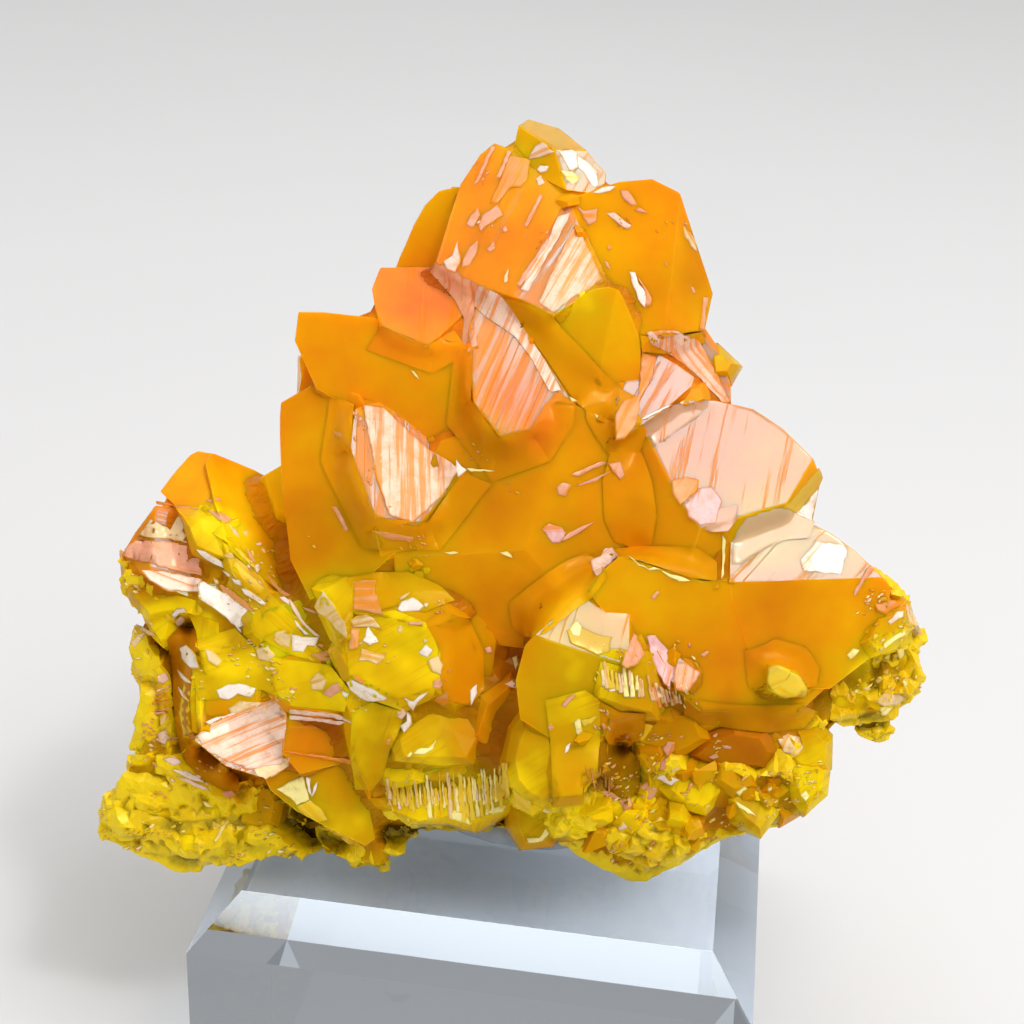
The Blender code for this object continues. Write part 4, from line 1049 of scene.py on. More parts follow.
def fibres():
    chance = random.Random(17)
    rows = []
    for (x0, y0), (x1, y1), (x2, y2), (x3, y3), count, width, kinds in fibreRows:
        for k in range(count):
            t = (k + chance.uniform(0.1, 0.9)) / count
            a, b = chance.uniform(0.0, 0.35), chance.uniform(0.6, 1.0)
            top = Vector((x0 + (x1 - x0) * t, y0 + (y1 - y0) * t))
            end = Vector((x2 + (x3 - x2) * t, y2 + (y3 - y2) * t))
            top, end = top.lerp(end, a), top.lerp(end, b)
            along = (end - top).normalized()
            side = Vector((-along.y, along.x)) * width * chance.uniform(0.35, 0.7)
            angle = math.degrees(math.atan2(-along.y, along.x))
            rows.append((chance.choice(kinds), angle,
                         [tuple(c) for c in (top - side * 0.5, top + side * 0.6, end + side, end - side)]))
    return rows


def joinedTree(hosts):
    graph = bpy.context.evaluated_depsgraph_get()
    points, sides = [], []
    for host in hosts:
        mesh = host.evaluated_get(graph).to_mesh()
        start = len(points)
        points.extend(v.co.copy() for v in mesh.vertices)
        sides.extend([i + start for i in f.vertices] for f in mesh.polygons)
        host.evaluated_get(graph).to_mesh_clear()
    return BVHTree.FromPolygons(points, sides)


def reach(tree, x, y):
    ray = sight(x, y)
    at, normal, _, far = tree.ray_cast(eye, ray.normalized())
    return (None, None) if at is None else (far / ray.length, normal)


# depth below the facet and flare (mm) of the rings down its sides, and how high it may stand
stepSettings = {"skirt": ((0.12, 0.14), (0.9, 0.75), (2.2, 1.1)), "lift": 0.10, "mostLift": 1.4,
                "sameDepth": 2.5, "edge": 1.2, "waves": 0.12, "ripples": 0.05}


def bodySteps(hosts):
    values = stepSettings
    chance = random.Random(31)
    tree = joinedTree(hosts)
    bm = bmesh.new()
    layers = crystalLayers(bm)
    for kind, lean, points in bodyFacets:
        looks = facetKinds[kind]
        outline = outlineOf(points)
        x, y = (sum(c[k] for c in outline) / len(outline) for k in range(2))
        backs = [reach(tree, *c)[0] for c in outline]
        known = sorted(b for b in backs + [reach(tree, x, y)[0]] if b is not None)
        if not known:
            continue
        far = known[len(known) // 3]
        at = eye + sight(x, y) * far
        normal = leaningNormal(*lean)
        rays = [sight(*c) for c in outline]
        flats = [(at - eye).dot(normal) / ray.dot(normal) for ray in rays]
        backs = [b if b is not None and abs(b - far) < values["sameDepth"] * mm else far for b in backs]
        over = sorted(f - b for f, b in zip(flats, backs))
        lift = min(max(0.0, over[int(len(over) * 0.75)]) + values["lift"] * mm, values["mostLift"] * mm)
        tops = [eye + ray * (f - lift) for ray, f in zip(rays, flats)]
        middle = sum(tops, Vector()) / len(tops)
        rings = [tops]
        for deep, flare in values["skirt"]:
            rings.append([t - backAxis * deep * mm + (t - middle).normalized() * flare * mm
                          for t in tops])
        rows = [[bm.verts.new(c) for c in ring] for ring in rings]
        count = len(tops)
        made = [bm.faces.new(rows[0])]
        for upper, lower in zip(rows, rows[1:]):
            for k in range(count):
                n = (k + 1) % count
                made.append(bm.faces.new((upper[n], upper[k], lower[k], lower[n])))
        made.append(bm.faces.new(rows[-1][::-1]))
        made[0].normal_update()
        if made[0].normal.dot(backAxis) < 0:
            bmesh.ops.reverse_faces(bm, faces=made)
        shift = (looks["tone"] - toneAt(middle)[0]) * 0.6 + chance.uniform(-0.04, 0.04)
        for row in rows:
            for v in row:
                tone, shade = toneAt(v.co)
                v[layers["tone"]] = tone + shift
                # deep pits get a low painted shade; other steps are kept from the darkest painted shade
                v[layers["shade"]] = 0.62 if kind == "deep" else max(shade, 0.85)
        _, across = stripeAxes(made[0].normal, chance.uniform(20, 80))
        for f in made:
            f.normal_update()
            f[layers["axis"]] = across
            f[layers["grooved"]] = 0.3
    triangulated(bm)
    long = [e for e in bm.edges if e.calc_length() > values["edge"] * mm]
    bmesh.ops.subdivide_edges(bm, edges=long, cuts=1)
    triangulated(bm)
    wear(bm, values["waves"], values["ripples"])
    return newPiece("cleavage_steps", bm)


# smooth sheets of crystal over clefts: kind of painted shine or None, stripe angle, grooves, tone (None:
# that of the place), shade (low values paint shade in hollows and grooves), picture outline; a carried
# sheet also gives a picture point and a paleness
sheets = [
    ("striped", 67, 0.45, 0.34, 1.0, "476 284 12 5 12 6 12 15 14 22 19 28 16 30 -11 2 -20 -36 -16 -20 "
        "-14 -10 -15 -10 -11 -10"),
    (None, 50, 0.2, 0.56, 0.92, "501 296 29 8 22 11 8 11 20 20 20 22 20 20 20 10 -12 14 -16 8 -16 -2 "
        "-21 -16 -15 -22 -15 -23 -19 -25 -14 -22"),
    ("peach", 80, 0.3, 0.24, 1.0, "436 262 14 6 15 9 13 8 -3 15 -1 22 3 23 -9 7 -6 -12 2 -22 -9 -18 "
        "-13 -15 -12 -13"),
    (None, 90, 0.1, None, 1.0, "354 404 -4 46 -30 12 10 -68"),
    (None, 90, 0.1, None, 1.0, "350 450 27 68 -15 31 -42 -87"),
    (None, 0, 0.1, None, 1.0, "377 518 51 4 12 29 -78 -2"),
    (None, 60, 0.1, None, 1.0, "428 522 35 -51 29 13 -52 67"),
    (None, 80, 0.1, None, 1.0, "474 340 -3 60 -25 24 8 -74"),
    (None, 40, 0.1, None, 1.0, "471 400 27 37 -6 45 -46 -58"),
    (None, 20, 0.1, None, 1.0, "498 437 32 -7 20 32 -58 20"),
    (None, 60, 0.1, None, 1.0, "530 430 15 -26 13 -12 18 11 -2 23 -24 36"),
    (None, 10, 0.1, 0.25, 1.0, "381 326 48 19 3 29 -66 -24"),
    (None, 50, 0.1, 0.25, 1.0, "429 345 25 -15 16 22 -38 22"),
    (None, 75, 0.14, 0.5, 1.0, "640 418 20 -8 20 -8 20 -4 14 4 -14 14 -24 18 -22 14 -10 -14",
        (725, 460), 0.78),
    (None, 75, 0.14, 0.42, 1.0, "684 508 31 0 25 -6 -2 16 -10 13 -16 1 -14 -5", (725, 460), 0.78),
    (None, 45, 0.1, 0.62, 1.0, "731 548 4 -18 10 -12 15 -7 25 -5 15 6 15 10 -7 16 -24 2 -22 12 -20 14 "
        "-11 0", (775, 560), 0.86),
    (None, 70, 0.1, None, 0.95, "586 402 20 -5 20 4 14 15 7 16 -7 20 -16 12 -16 -10 -12 -16 -10 -18"),
    (None, 50, 0.1, None, 1.08, "508 604 19 -16 18 -14 20 -13 20 -8 19 9 2 18 -14 18 -17 12 -15 12 -15 12 "
        "-17 4 -16 -10"),
    (None, 80, 0.1, None, 0.97, "612 446 14 6 16 0 10 28 5 35 -5 30 -22 2 -16 -5 -10 -22 -2 -40"),
    (None, 60, 0.2, None, 0.95, "598 700 22 12 26 2 -2 21 -16 13 -20 -4 -8 -19"),
    (None, 10, 0.1, None, 1.0, "744 650 31 -12 31 8 16 22 -4 20 -18 10 -32 0 -20 -10", (806, 632), 0.0),
    (None, 60, 0.3, 0.66, 0.48, "600 742 12 2 16 4 12 12 0 28 -14 16 -17 -8 -10 -26"),
    (None, 10, 0.2, None, 0.95, "684 698 36 5 40 2 40 -1 18 8 -14 16 -34 5 -30 -3 -36 -6 -20 -8"),
    (None, 10, 0.1, None, 0.95, "588 566 12 -10 18 -8 22 -2 32 0 28 2 17 14 0 19 -27 -3 -28 -10 -26 -8 "
        "-22 -2 -18 14"),
    (None, 10, 0.1, 0.5, 0.95, "640 335 28 3 34 -6 4 10 -16 8 -26 4 -22 -2"),
    (None, 20, 0.2, 0.9, 0.98, "196 640 39 -12 27 27 30 5 38 5 20 25 -5 22 -53 -6 -7 -6 -23 -10 -22 0 "
        "-25 10 -17 0 -6 -30"),
    (None, 30, 0.2, 0.9, 0.98, "345 640 17 -25 33 -5 30 12 15 28 2 30 -12 20 -25 12 -33 -12 -22 -10"),
    (None, 70, 0.2, 0.5, 0.86, "425 622 15 -12 30 10 14 30 0 40 -14 16 -25 -6 -5 -20 0 -30"),
    (None, 70, 0.3, 0.84, 0.9, "352 712 20 -10 33 10 -7 23 -8 15 -6 25 -12 15 -17 0 -5 -40"),
    (None, -40, 0.3, 0.86, 0.95, "235 560 27 25 28 27 10 20 22 18 -4 12 -28 -7 -28 -15 -22 -20 -18 -20"),
    (None, 60, 0.2, 0.82, 0.92, "322 590 23 -12 8 4 0 58 -7 15 -16 -15 -12 -25"),
    (None, 0, 0.2, 0.74, 0.95, "345 578 30 -6 35 0 30 13 15 15 -30 12 -27 -7 -23 7 -23 0 0 -22"),
    (None, 80, 0.2, 0.48, 0.66, "167 640 11 -12 18 0 2 22 -6 22 -2 28 2 30 8 18 18 14 20 14 2 16 -18 -2 "
        "-22 -12 -16 -18 -8 -25 -3 -35 -1 -30"),
    (None, 20, 0.2, 0.92, 1.02, "545 700 40 -10 15 10 0 42 -3 33 -14 20 -30 2 -3 -57"),
]


sheetSettings = {"edgeStep": 5, "spacing": 5.0, "rows": 4.3, "reach": 2, "sunk": 0.03, "raised": 0.05,
                 "sameDepth": 2.5, "pale": 0.45}


def inside(spot, ring):
    odd = False
    for a, b in zip(ring, ring[1:] + ring[:1]):
        if (a.y > spot.y) != (b.y > spot.y) and spot.x < (b.x - a.x) * (spot.y - a.y) / (b.y - a.y) + a.x:
            odd = not odd
    return odd


def spanSheets(hosts):
    values = sheetSettings
    tree = joinedTree(hosts)
    bm = bmesh.new()
    layers = crystalLayers(bm)
    away = values["reach"]
    around = ((0, 0), (away, 0), (-away, 0), (0, away), (0, -away))
    for kind, angle, grooves, own, dim, points, *carried in sheets:
        looks = facetKinds.get(kind)
        outline = outlineOf(points)
        # a carried sheet goes on in the plane of the facet at one picture point
        if carried:
            far, level = reach(tree, *carried[0])
            beside = eye + sight(*carried[0]) * far
        ring = []
        for a, b in zip(outline, outline[1:] + outline[:1]):
            a, b = Vector(a), Vector(b)
            parts = max(1, round((b - a).length / values["edgeStep"]))
            ring.extend(a.lerp(b, k / parts) for k in range(parts))
        depths = []
        for spot in ring:
            near = [reach(tree, spot.x + dx, spot.y + dy)[0] for dx, dy in around]
            near = [n for n in near if n is not None]
            depths.append(min(near) if near else None)
        known = [(spot, far) for spot, far in zip(ring, depths) if far is not None]
        if len(known) < len(ring) * 0.6:
            continue
        spots = list(ring)
        half = values["spacing"] / 2
        y = min(r.y for r in ring)
        row = 0
        while y < max(r.y for r in ring):
            x = min(r.x for r in ring) + (row % 2) * half
            while x < max(r.x for r in ring):
                spot = Vector((x, y))
                if inside(spot, ring) and min((spot - r).length for r in ring) > half:
                    spots.append(spot)
                x += values["spacing"]
            y += values["rows"]
            row += 1
        edges = [(k, (k + 1) % len(ring)) for k in range(len(ring))]
        flat, _, faces, *_ = delaunay_2d_cdt(spots, edges, [], 1, 1e-4)
        corners = []
        for k, spot in enumerate(flat):
            weights = [((spot - r).length_squared + 0.5) ** -1.5 for r, _ in known]
            far = sum(w * f for w, (_, f) in zip(weights, known)) / sum(weights)
            if carried:
                even = (beside - eye).dot(level) / sight(*spot).dot(level)
                far = even if abs(even - far) < values["sameDepth"] * mm else far
            hit = reach(tree, *spot)[0]
            if hit is not None:
                far = min(far, hit - values["raised"] * mm if k >= len(ring) else hit + values["sunk"] * mm)
            v = bm.verts.new(eye + sight(*spot) * far)
            tone, shade = toneAt(v.co)
            v[layers["tone"]] = tone if own is None else own
            v[layers["shade"]] = shade * dim if own is None else dim
            # painted shine of the kind over the whole sheet
            if looks:
                v[layers["paintedShine"]] = looks["shine"]
                v[layers["cover"]] = 1.0
            corners.append(v)
        made = [bm.faces.new([corners[i] for i in face]) for face in faces]
        for f in made:
            f.normal_update()
            if f.normal.dot(eye - f.verts[0].co) < 0:
                f.normal_flip()
        facing = sum((f.normal for f in made), Vector()).normalized()
        if facing.dot(backAxis) < 0.1:
            facing = (facing + backAxis * 0.4).normalized()
        _, across = stripeAxes(facing, angle)
        for f in made:
            f.smooth = True
            f[layers["axis"]] = across
            f[layers["grooved"]] = grooves
            for loop in f.loops:
                loop[layers["pale"]] = carried[1] if carried else values["pale"] if looks else 0.0
    return newPiece("cleavage_sheets", bm)


# fields of flecks: box in the picture, number, length in pixels, direction, kinds, whose pale ones paint
# small glints
fleckFields = [
    ((195, 540, 275, 615), 44, (3, 9), -42, "white cream glint peach gold"),
    ((250, 600, 350, 705), 46, (3, 9), -25, "cream pink gold glint"),
    ((350, 600, 450, 720), 34, (2, 7), 30, "cream gold pink bright"),
    ((192, 640, 262, 735), 40, (3, 8), -15, "cream glint gold pink"),
    ((120, 560, 200, 660), 34, (3, 9), -35, "cream glint gold"),
    ((130, 655, 175, 765), 46, (3, 9), -20, "pink peach cream bright"),
    ((150, 755, 245, 800), 30, (3, 10), -28, "bright pink cream peach"),
    ((90, 790, 300, 865), 130, (3, 10), 20, "glint gold olive gold"),
    ((350, 402, 388, 512), 40, (2, 8), 97, "pink peach cream pink"),
    ((590, 640, 700, 730), 70, (3, 9), -60, "pink gold cream glint"),
    ((600, 730, 720, 870), 150, (3, 9), 35, "pink cream gold glint peach"),
    ((710, 760, 830, 850), 100, (3, 9), 25, "gold glint cream olive"),
    ((845, 585, 930, 740), 120, (3, 11), 35, "glint gold cream olive"),
    ((380, 770, 510, 830), 30, (2, 8), -78, "glint gold"),
    ((470, 150, 600, 300), 26, (2, 7), 60, "pink peach bright"),
    ((600, 180, 700, 320), 20, (2, 6), -55, "pink peach gold"),
    ((300, 380, 560, 560), 34, (2, 7), -30, "peach gold pink"),
]


def flecks():
    chance = random.Random(53)
    made = []
    for (x0, y0, x1, y1), count, lengths, lean, kinds in fleckFields:
        groups = [(chance.uniform(x0, x1), chance.uniform(y0, y1)) for _ in range(max(3, count // 6))]
        for _ in range(count):
            x, y = chance.choice(groups)
            x += chance.gauss(0, 7)
            y += chance.gauss(0, 6)
            if not (x0 <= x <= x1 and y0 <= y <= y1):
                continue
            length = sizeWithin(lengths, chance, 1.6)
            width = length * chance.uniform(0.25, 0.6)
            angle = lean + chance.gauss(0, 18)
            turn = math.radians(angle)
            outline = []
            for k in range(chance.choice((4, 5, 6))):
                around = k / 5 * 6.28 + chance.uniform(-0.3, 0.3)
                a = math.cos(around) * length * 0.5 * chance.uniform(0.7, 1.1)
                b = math.sin(around) * width * 0.5 * chance.uniform(0.7, 1.1)
                outline.append((x + a * math.cos(turn) + b * math.sin(turn),
                                y - a * math.sin(turn) + b * math.cos(turn)))
            made.append((chance.choice(kinds.split()), angle, outline))
    return made


# rings of a flake: inset in pixels and share of its height; edges in pixels, other lengths in mm
flakeSettings = {"rings": ((-0.5, 0.0), (0.9, 0.8), (2.4, 1.0)), "edgeStep": 4.5, "ragged": 0.8,
                 "longest": 9, "flat": 0.12, "sunk": 0.05, "sameDepth": 0.7, "pale": 0.45,
                 "lift": 0.06, "splinterLift": 0.10}


# the plane that most of the hits lie on, if it is most of them
def commonPlane(hits):
    best, found = 0, None
    for at, normal in hits[::max(1, len(hits) // 12)]:
        near = sum(abs((h - at).dot(normal)) < flakeSettings["flat"] * mm for h, _ in hits)
        if near > best:
            best, found = near, (at, normal)
    return found if best > 0.5 * len(hits) and found[1].dot(backAxis) > 0.15 else None


def flakePiece(name, entries, hosts, lift):
    values = flakeSettings
    ragged = values["ragged"]
    chance = random.Random(37)
    tree = joinedTree(hosts)
    bm = bmesh.new()
    layers = crystalLayers(bm)
    for kind, angle, outline in entries:
        looks = facetKinds[kind]
        ring = []
        for a, b in zip(outline, outline[1:] + outline[:1]):
            a, b = Vector(a), Vector(b)
            parts = max(1, int((b - a).length / values["edgeStep"]))
            for k in range(parts):
                spot = a.lerp(b, k / parts)
                if k:
                    spot += Vector([chance.uniform(-ragged, ragged) for _ in range(2)])
                ring.append(spot)
        centre = sum(ring, Vector((0, 0))) / len(ring)
        flat = bmesh.new()
        height = flat.verts.layers.float.new("height")
        rows = []
        for inset, level in values["rings"]:
            row = []
            for spot in ring:
                out = spot - centre
                away = max(out.length * (0.45 if level == 1 else 0.7), out.length - inset) if inset > 0 \
                    else out.length - inset
                v = flat.verts.new((*(centre + out.normalized() * away), 0))
                v[height] = level
                row.append(v)
            rows.append(row)
        for upper, lower in zip(rows, rows[1:]):
            for k in range(len(ring)):
                n = (k + 1) % len(ring)
                flat.faces.new((upper[k], upper[n], lower[n], lower[k]))
        flat.faces.new(rows[-1])
        triangulated(flat)
        long = [e for e in flat.edges if e.calc_length() > values["longest"]]
        if long:
            bmesh.ops.subdivide_edges(flat, edges=long, cuts=1)
            triangulated(flat)
        found = {v: reach(tree, v.co.x, v.co.y) for v in flat.verts}
        depths = sorted(f[0] for f in found.values() if f[0] is not None)
        if len(depths) < len(found) * 0.6:
            flat.free()
            continue
        usual = depths[len(depths) // 2]
        normals = [f[1] for f in found.values() if f[0] is not None and abs(f[0] - usual) < mm]
        met = [(eye + sight(v.co.x, v.co.y) * f[0], f[1]) for v, f in found.items() if f[0] is not None]
        plane = commonPlane(met)
        facing = sum(normals, Vector()).normalized()
        if facing.dot(backAxis) < 0.15:
            facing = (facing + backAxis * 0.5).normalized()
        placed = {}
        for v, (far, _) in found.items():
            if plane is not None:
                ray = sight(v.co.x, v.co.y)
                even = (plane[0] - eye).dot(plane[1]) / ray.dot(plane[1])
                if far is None or -0.05 * mm < far - even < 1.6 * mm:
                    far = even
            elif far is None or abs(far - usual) > values["sameDepth"] * mm:
                far = usual
            at = eye + sight(v.co.x, v.co.y) * far
            spare = -values["sunk"] if v[height] == 0 else lift * v[height]
            new = bm.verts.new(at + (facing * 0.6 + backAxis * 0.4) * spare * mm)
            tone, shade = toneAt(at)
            new[layers["tone"]] = tone + (looks["tone"] - tone) * v[height] * 0.7
            new[layers["shade"]] = shade
            # painted shine: the kind's colour, covering the body most at the flake's top
            new[layers["paintedShine"]] = looks["shine"]
            new[layers["cover"]] = looks["cover"] * v[height]
            placed[v] = new
        _, across = stripeAxes(facing, angle)
        made = []
        for f in flat.faces:
            face = bm.faces.new([placed[v] for v in f.verts])
            face[layers["axis"]] = across
            face[layers["grooved"]] = looks["grooves"]
            for loop in face.loops:
                loop[layers["pale"]] = values["pale"] * loop.vert[layers["cover"]]
            made.append(face)
        made[0].normal_update()
        if made[-1].calc_area() > 0:
            made[-1].normal_update()
            if made[-1].normal.dot(backAxis) < 0:
                bmesh.ops.reverse_faces(bm, faces=made)
        flat.free()
    bm.normal_update()
    turned = [f for f in bm.faces if f.normal.dot((eye - f.verts[0].co).normalized()) < 0.06]
    bmesh.ops.delete(bm, geom=turned, context="FACES")
    for f in bm.faces:
        f.smooth = True
    return newPiece(name, bm)


# node tools
def addNode(tree, kind, at=(0, 0), **settings):
    node = tree.nodes.new(kind)
    node.location = (at[0] * 200, at[1] * -160)
    for key, value in settings.items():
        setattr(node, key, value)
    return node


def feed(tree, node, **values):
    for key, value in values.items():
        numbered = key[0] == "i" and key[1:].isdigit()
        socket = node.inputs[int(key[1:]) if numbered else key.replace("_", " ")]
        if hasattr(value, "is_output"):
            tree.links.new(value, socket)
        else:
            socket.default_value = value
    return node


def math2(tree, operation, a, b=0.5, clamp=False):
    node = addNode(tree, "ShaderNodeMath", operation=operation, use_clamp=clamp)
    feed(tree, node, i0=a, i1=b)
    return node.outputs[0]


def times(tree, a, b):
    return math2(tree, "MULTIPLY", a, b)


def plus(tree, a, b, clamp=False):
    return math2(tree, "ADD", a, b, clamp)


def scaled(tree, value, factor, shift=0.0, clamp=False):
    node = addNode(tree, "ShaderNodeMath", operation="MULTIPLY_ADD", use_clamp=clamp)
    feed(tree, node, i0=value, i1=factor, i2=shift)
    return node.outputs[0]


def mixColour(tree, factor, a, b, blend="MIX"):
    node = addNode(tree, "ShaderNodeMix", data_type="RGBA", blend_type=blend)
    feed(tree, node, i0=factor, i6=a, i7=b)
    return node.outputs[2]


def ramp(tree, factor, stops):
    node = addNode(tree, "ShaderNodeValToRGB")
    band = node.color_ramp
    while len(band.elements) < len(stops):
        band.elements.new(0.5)
    for element, (at, colour) in zip(band.elements, stops):
        element.position = at
        element.color = (*colour, 1) if not isinstance(colour, (int, float)) else (colour,) * 3 + (1,)
    feed(tree, node, Fac=factor)
    return node.outputs[0]


def bumpOf(tree, height, strength, distance):
    bump = addNode(tree, "ShaderNodeBump")
    return feed(tree, bump, Strength=strength, Distance=distance, Height=height).outputs[0]


def attribute(tree, name, output="Fac"):
    return addNode(tree, "ShaderNodeAttribute", attribute_name=name).outputs[output]


def objectPoint(tree):
    return addNode(tree, "ShaderNodeTexCoord").outputs["Object"]


def noiseOf(tree, point, scale, detail, rough):
    node = addNode(tree, "ShaderNodeTexNoise")
    return feed(tree, node, Vector=point, Scale=scale, Detail=detail, Roughness=rough).outputs[0]


# inputs with their first values, where None stands for a vector, and the names of the outputs
def newGroup(name, inputs, outputs):
    tree = bpy.data.node_groups.new(name, "ShaderNodeTree")
    for key, value in inputs.items():
        kind = "NodeSocketVector" if value is None else "NodeSocketFloat"
        socket = tree.interface.new_socket(name=key, in_out="INPUT", socket_type=kind)
        if value is not None:
            socket.default_value = value
    for key in outputs:
        tree.interface.new_socket(name=key, in_out="OUTPUT", socket_type="NodeSocketFloat")
    return tree, addNode(tree, "NodeGroupInput"), addNode(tree, "NodeGroupOutput")


def placeGroup(tree, group, **values):
    node = addNode(tree, "ShaderNodeGroup", node_tree=group)
    feed(tree, node, **values)
    return node


def stripeGroup():
    tree, given, result = newGroup(
        "cleavage stripes", {"Axis": None, "Scale": 2000.0, "Stretch": 90.0, "Grooved": 0.3},
        ("Mask", "Height"))
    point = objectPoint(tree)
    across = addNode(tree, "ShaderNodeVectorMath", operation="DOT_PRODUCT")
    feed(tree, across, i0=point, i1=given.outputs["Axis"])
    # noise that is drawn out along the stripes
    sideways = times(tree, across.outputs["Value"],
                     math2(tree, "SUBTRACT", given.outputs["Scale"], given.outputs["Stretch"]))
    wide = addNode(tree, "ShaderNodeVectorMath", operation="SCALE")
    feed(tree, wide, i0=given.outputs["Axis"], Scale=sideways)
    slow = addNode(tree, "ShaderNodeVectorMath", operation="SCALE")
    feed(tree, slow, i0=point, Scale=given.outputs["Stretch"])
    drawn = addNode(tree, "ShaderNodeVectorMath", operation="ADD")
    feed(tree, drawn, i0=wide.outputs[0], i1=slow.outputs[0])
    coarse = noiseOf(tree, drawn.outputs[0], 1.0, 4.0, 0.68)
    level = scaled(tree, given.outputs["Grooved"], 0.34, 0.33)
    over = math2(tree, "SUBTRACT", coarse, level)
    mask = scaled(tree, over, 11.0, 0.5, True)
    height = plus(tree, mask, times(tree, coarse, 1.2))
    feed(tree, result, Mask=mask, Height=height)
    return tree


def grainGroup():
    tree, given, result = newGroup("surface grain", {"Scale": 900.0, "Coarse": 120.0},
                                   ("Fine", "Cloud", "Height"))
    point = objectPoint(tree)
    fine = noiseOf(tree, point, given.outputs["Scale"], 3.0, 0.6)
    cloud = noiseOf(tree, point, given.outputs["Coarse"], 3.0, 0.55)
    height = plus(tree, times(tree, fine, 0.4), cloud)
    feed(tree, result, Fine=fine, Cloud=cloud, Height=height)
    return tree


groups = {"stripes": stripeGroup(), "grain": grainGroup()}


def newMaterial(name):
    looks = bpy.data.materials.new(name)
    looks.use_nodes = True
    tree = looks.node_tree
    return looks, tree, tree.nodes["Principled BSDF"]


orpimentLooks = {
    "tones": [(0.0, (0.90, 0.16, 0.012)), (0.3, (0.90, 0.25, 0.006)), (0.5, (0.84, 0.30, 0.003)),
              (0.7, (0.76, 0.34, 0.002)), (0.85, (0.68, 0.38, 0.003)), (1.0, (0.90, 0.62, 0.004))],
    # painted reflection on the shining facets: pale pink or cream colour, its share, and how much the body
    # darkens under it; grooves between the stripes take the groove colour
    "pinkPale": (0.76, 0.50, 0.42),
    "creamPale": (0.86, 0.70, 0.42),
    "paleShare": 0.50,
    "shineDarkens": 0.55,
    "groove": (0.78, 0.20, 0.02),
    "grooveShare": 0.75,
    "roughness": 0.15,
    "ior": 1.50,
    "plainSpecular": 0.10,
    "plainTint": (1.0, 0.66, 0.22),
    "shiningTint": (1.0, 0.94, 1.0),
    "creamTint": (1.0, 1.0, 0.82),
    # painted highlight along the bevelled crystal edges
    "edgeHighlightColour": (0.95, 0.55, 0.05),
    "edgeHighlightShare": 0.16,
    # factor and shift of a noise that breaks each of these up
    "toneClouds": (0.9, -0.45),
    "toneVeins": (0.05, -0.05),
    "shadeClouds": (0.62, -0.35),
    "edgeHighlightBreaks": (3.2, -1.1),
    "coverBreaks": (1.8, -1.25),
    "coverStripes": (0.8, 0.2),
    "grooveRoughness": 0.30,
    "scatterDepth": 1.4,
    "chipScatterDepth": 0.30,
    "flakeScatterDepth": 0.02,
    "stripeScale": 2000.0,
}


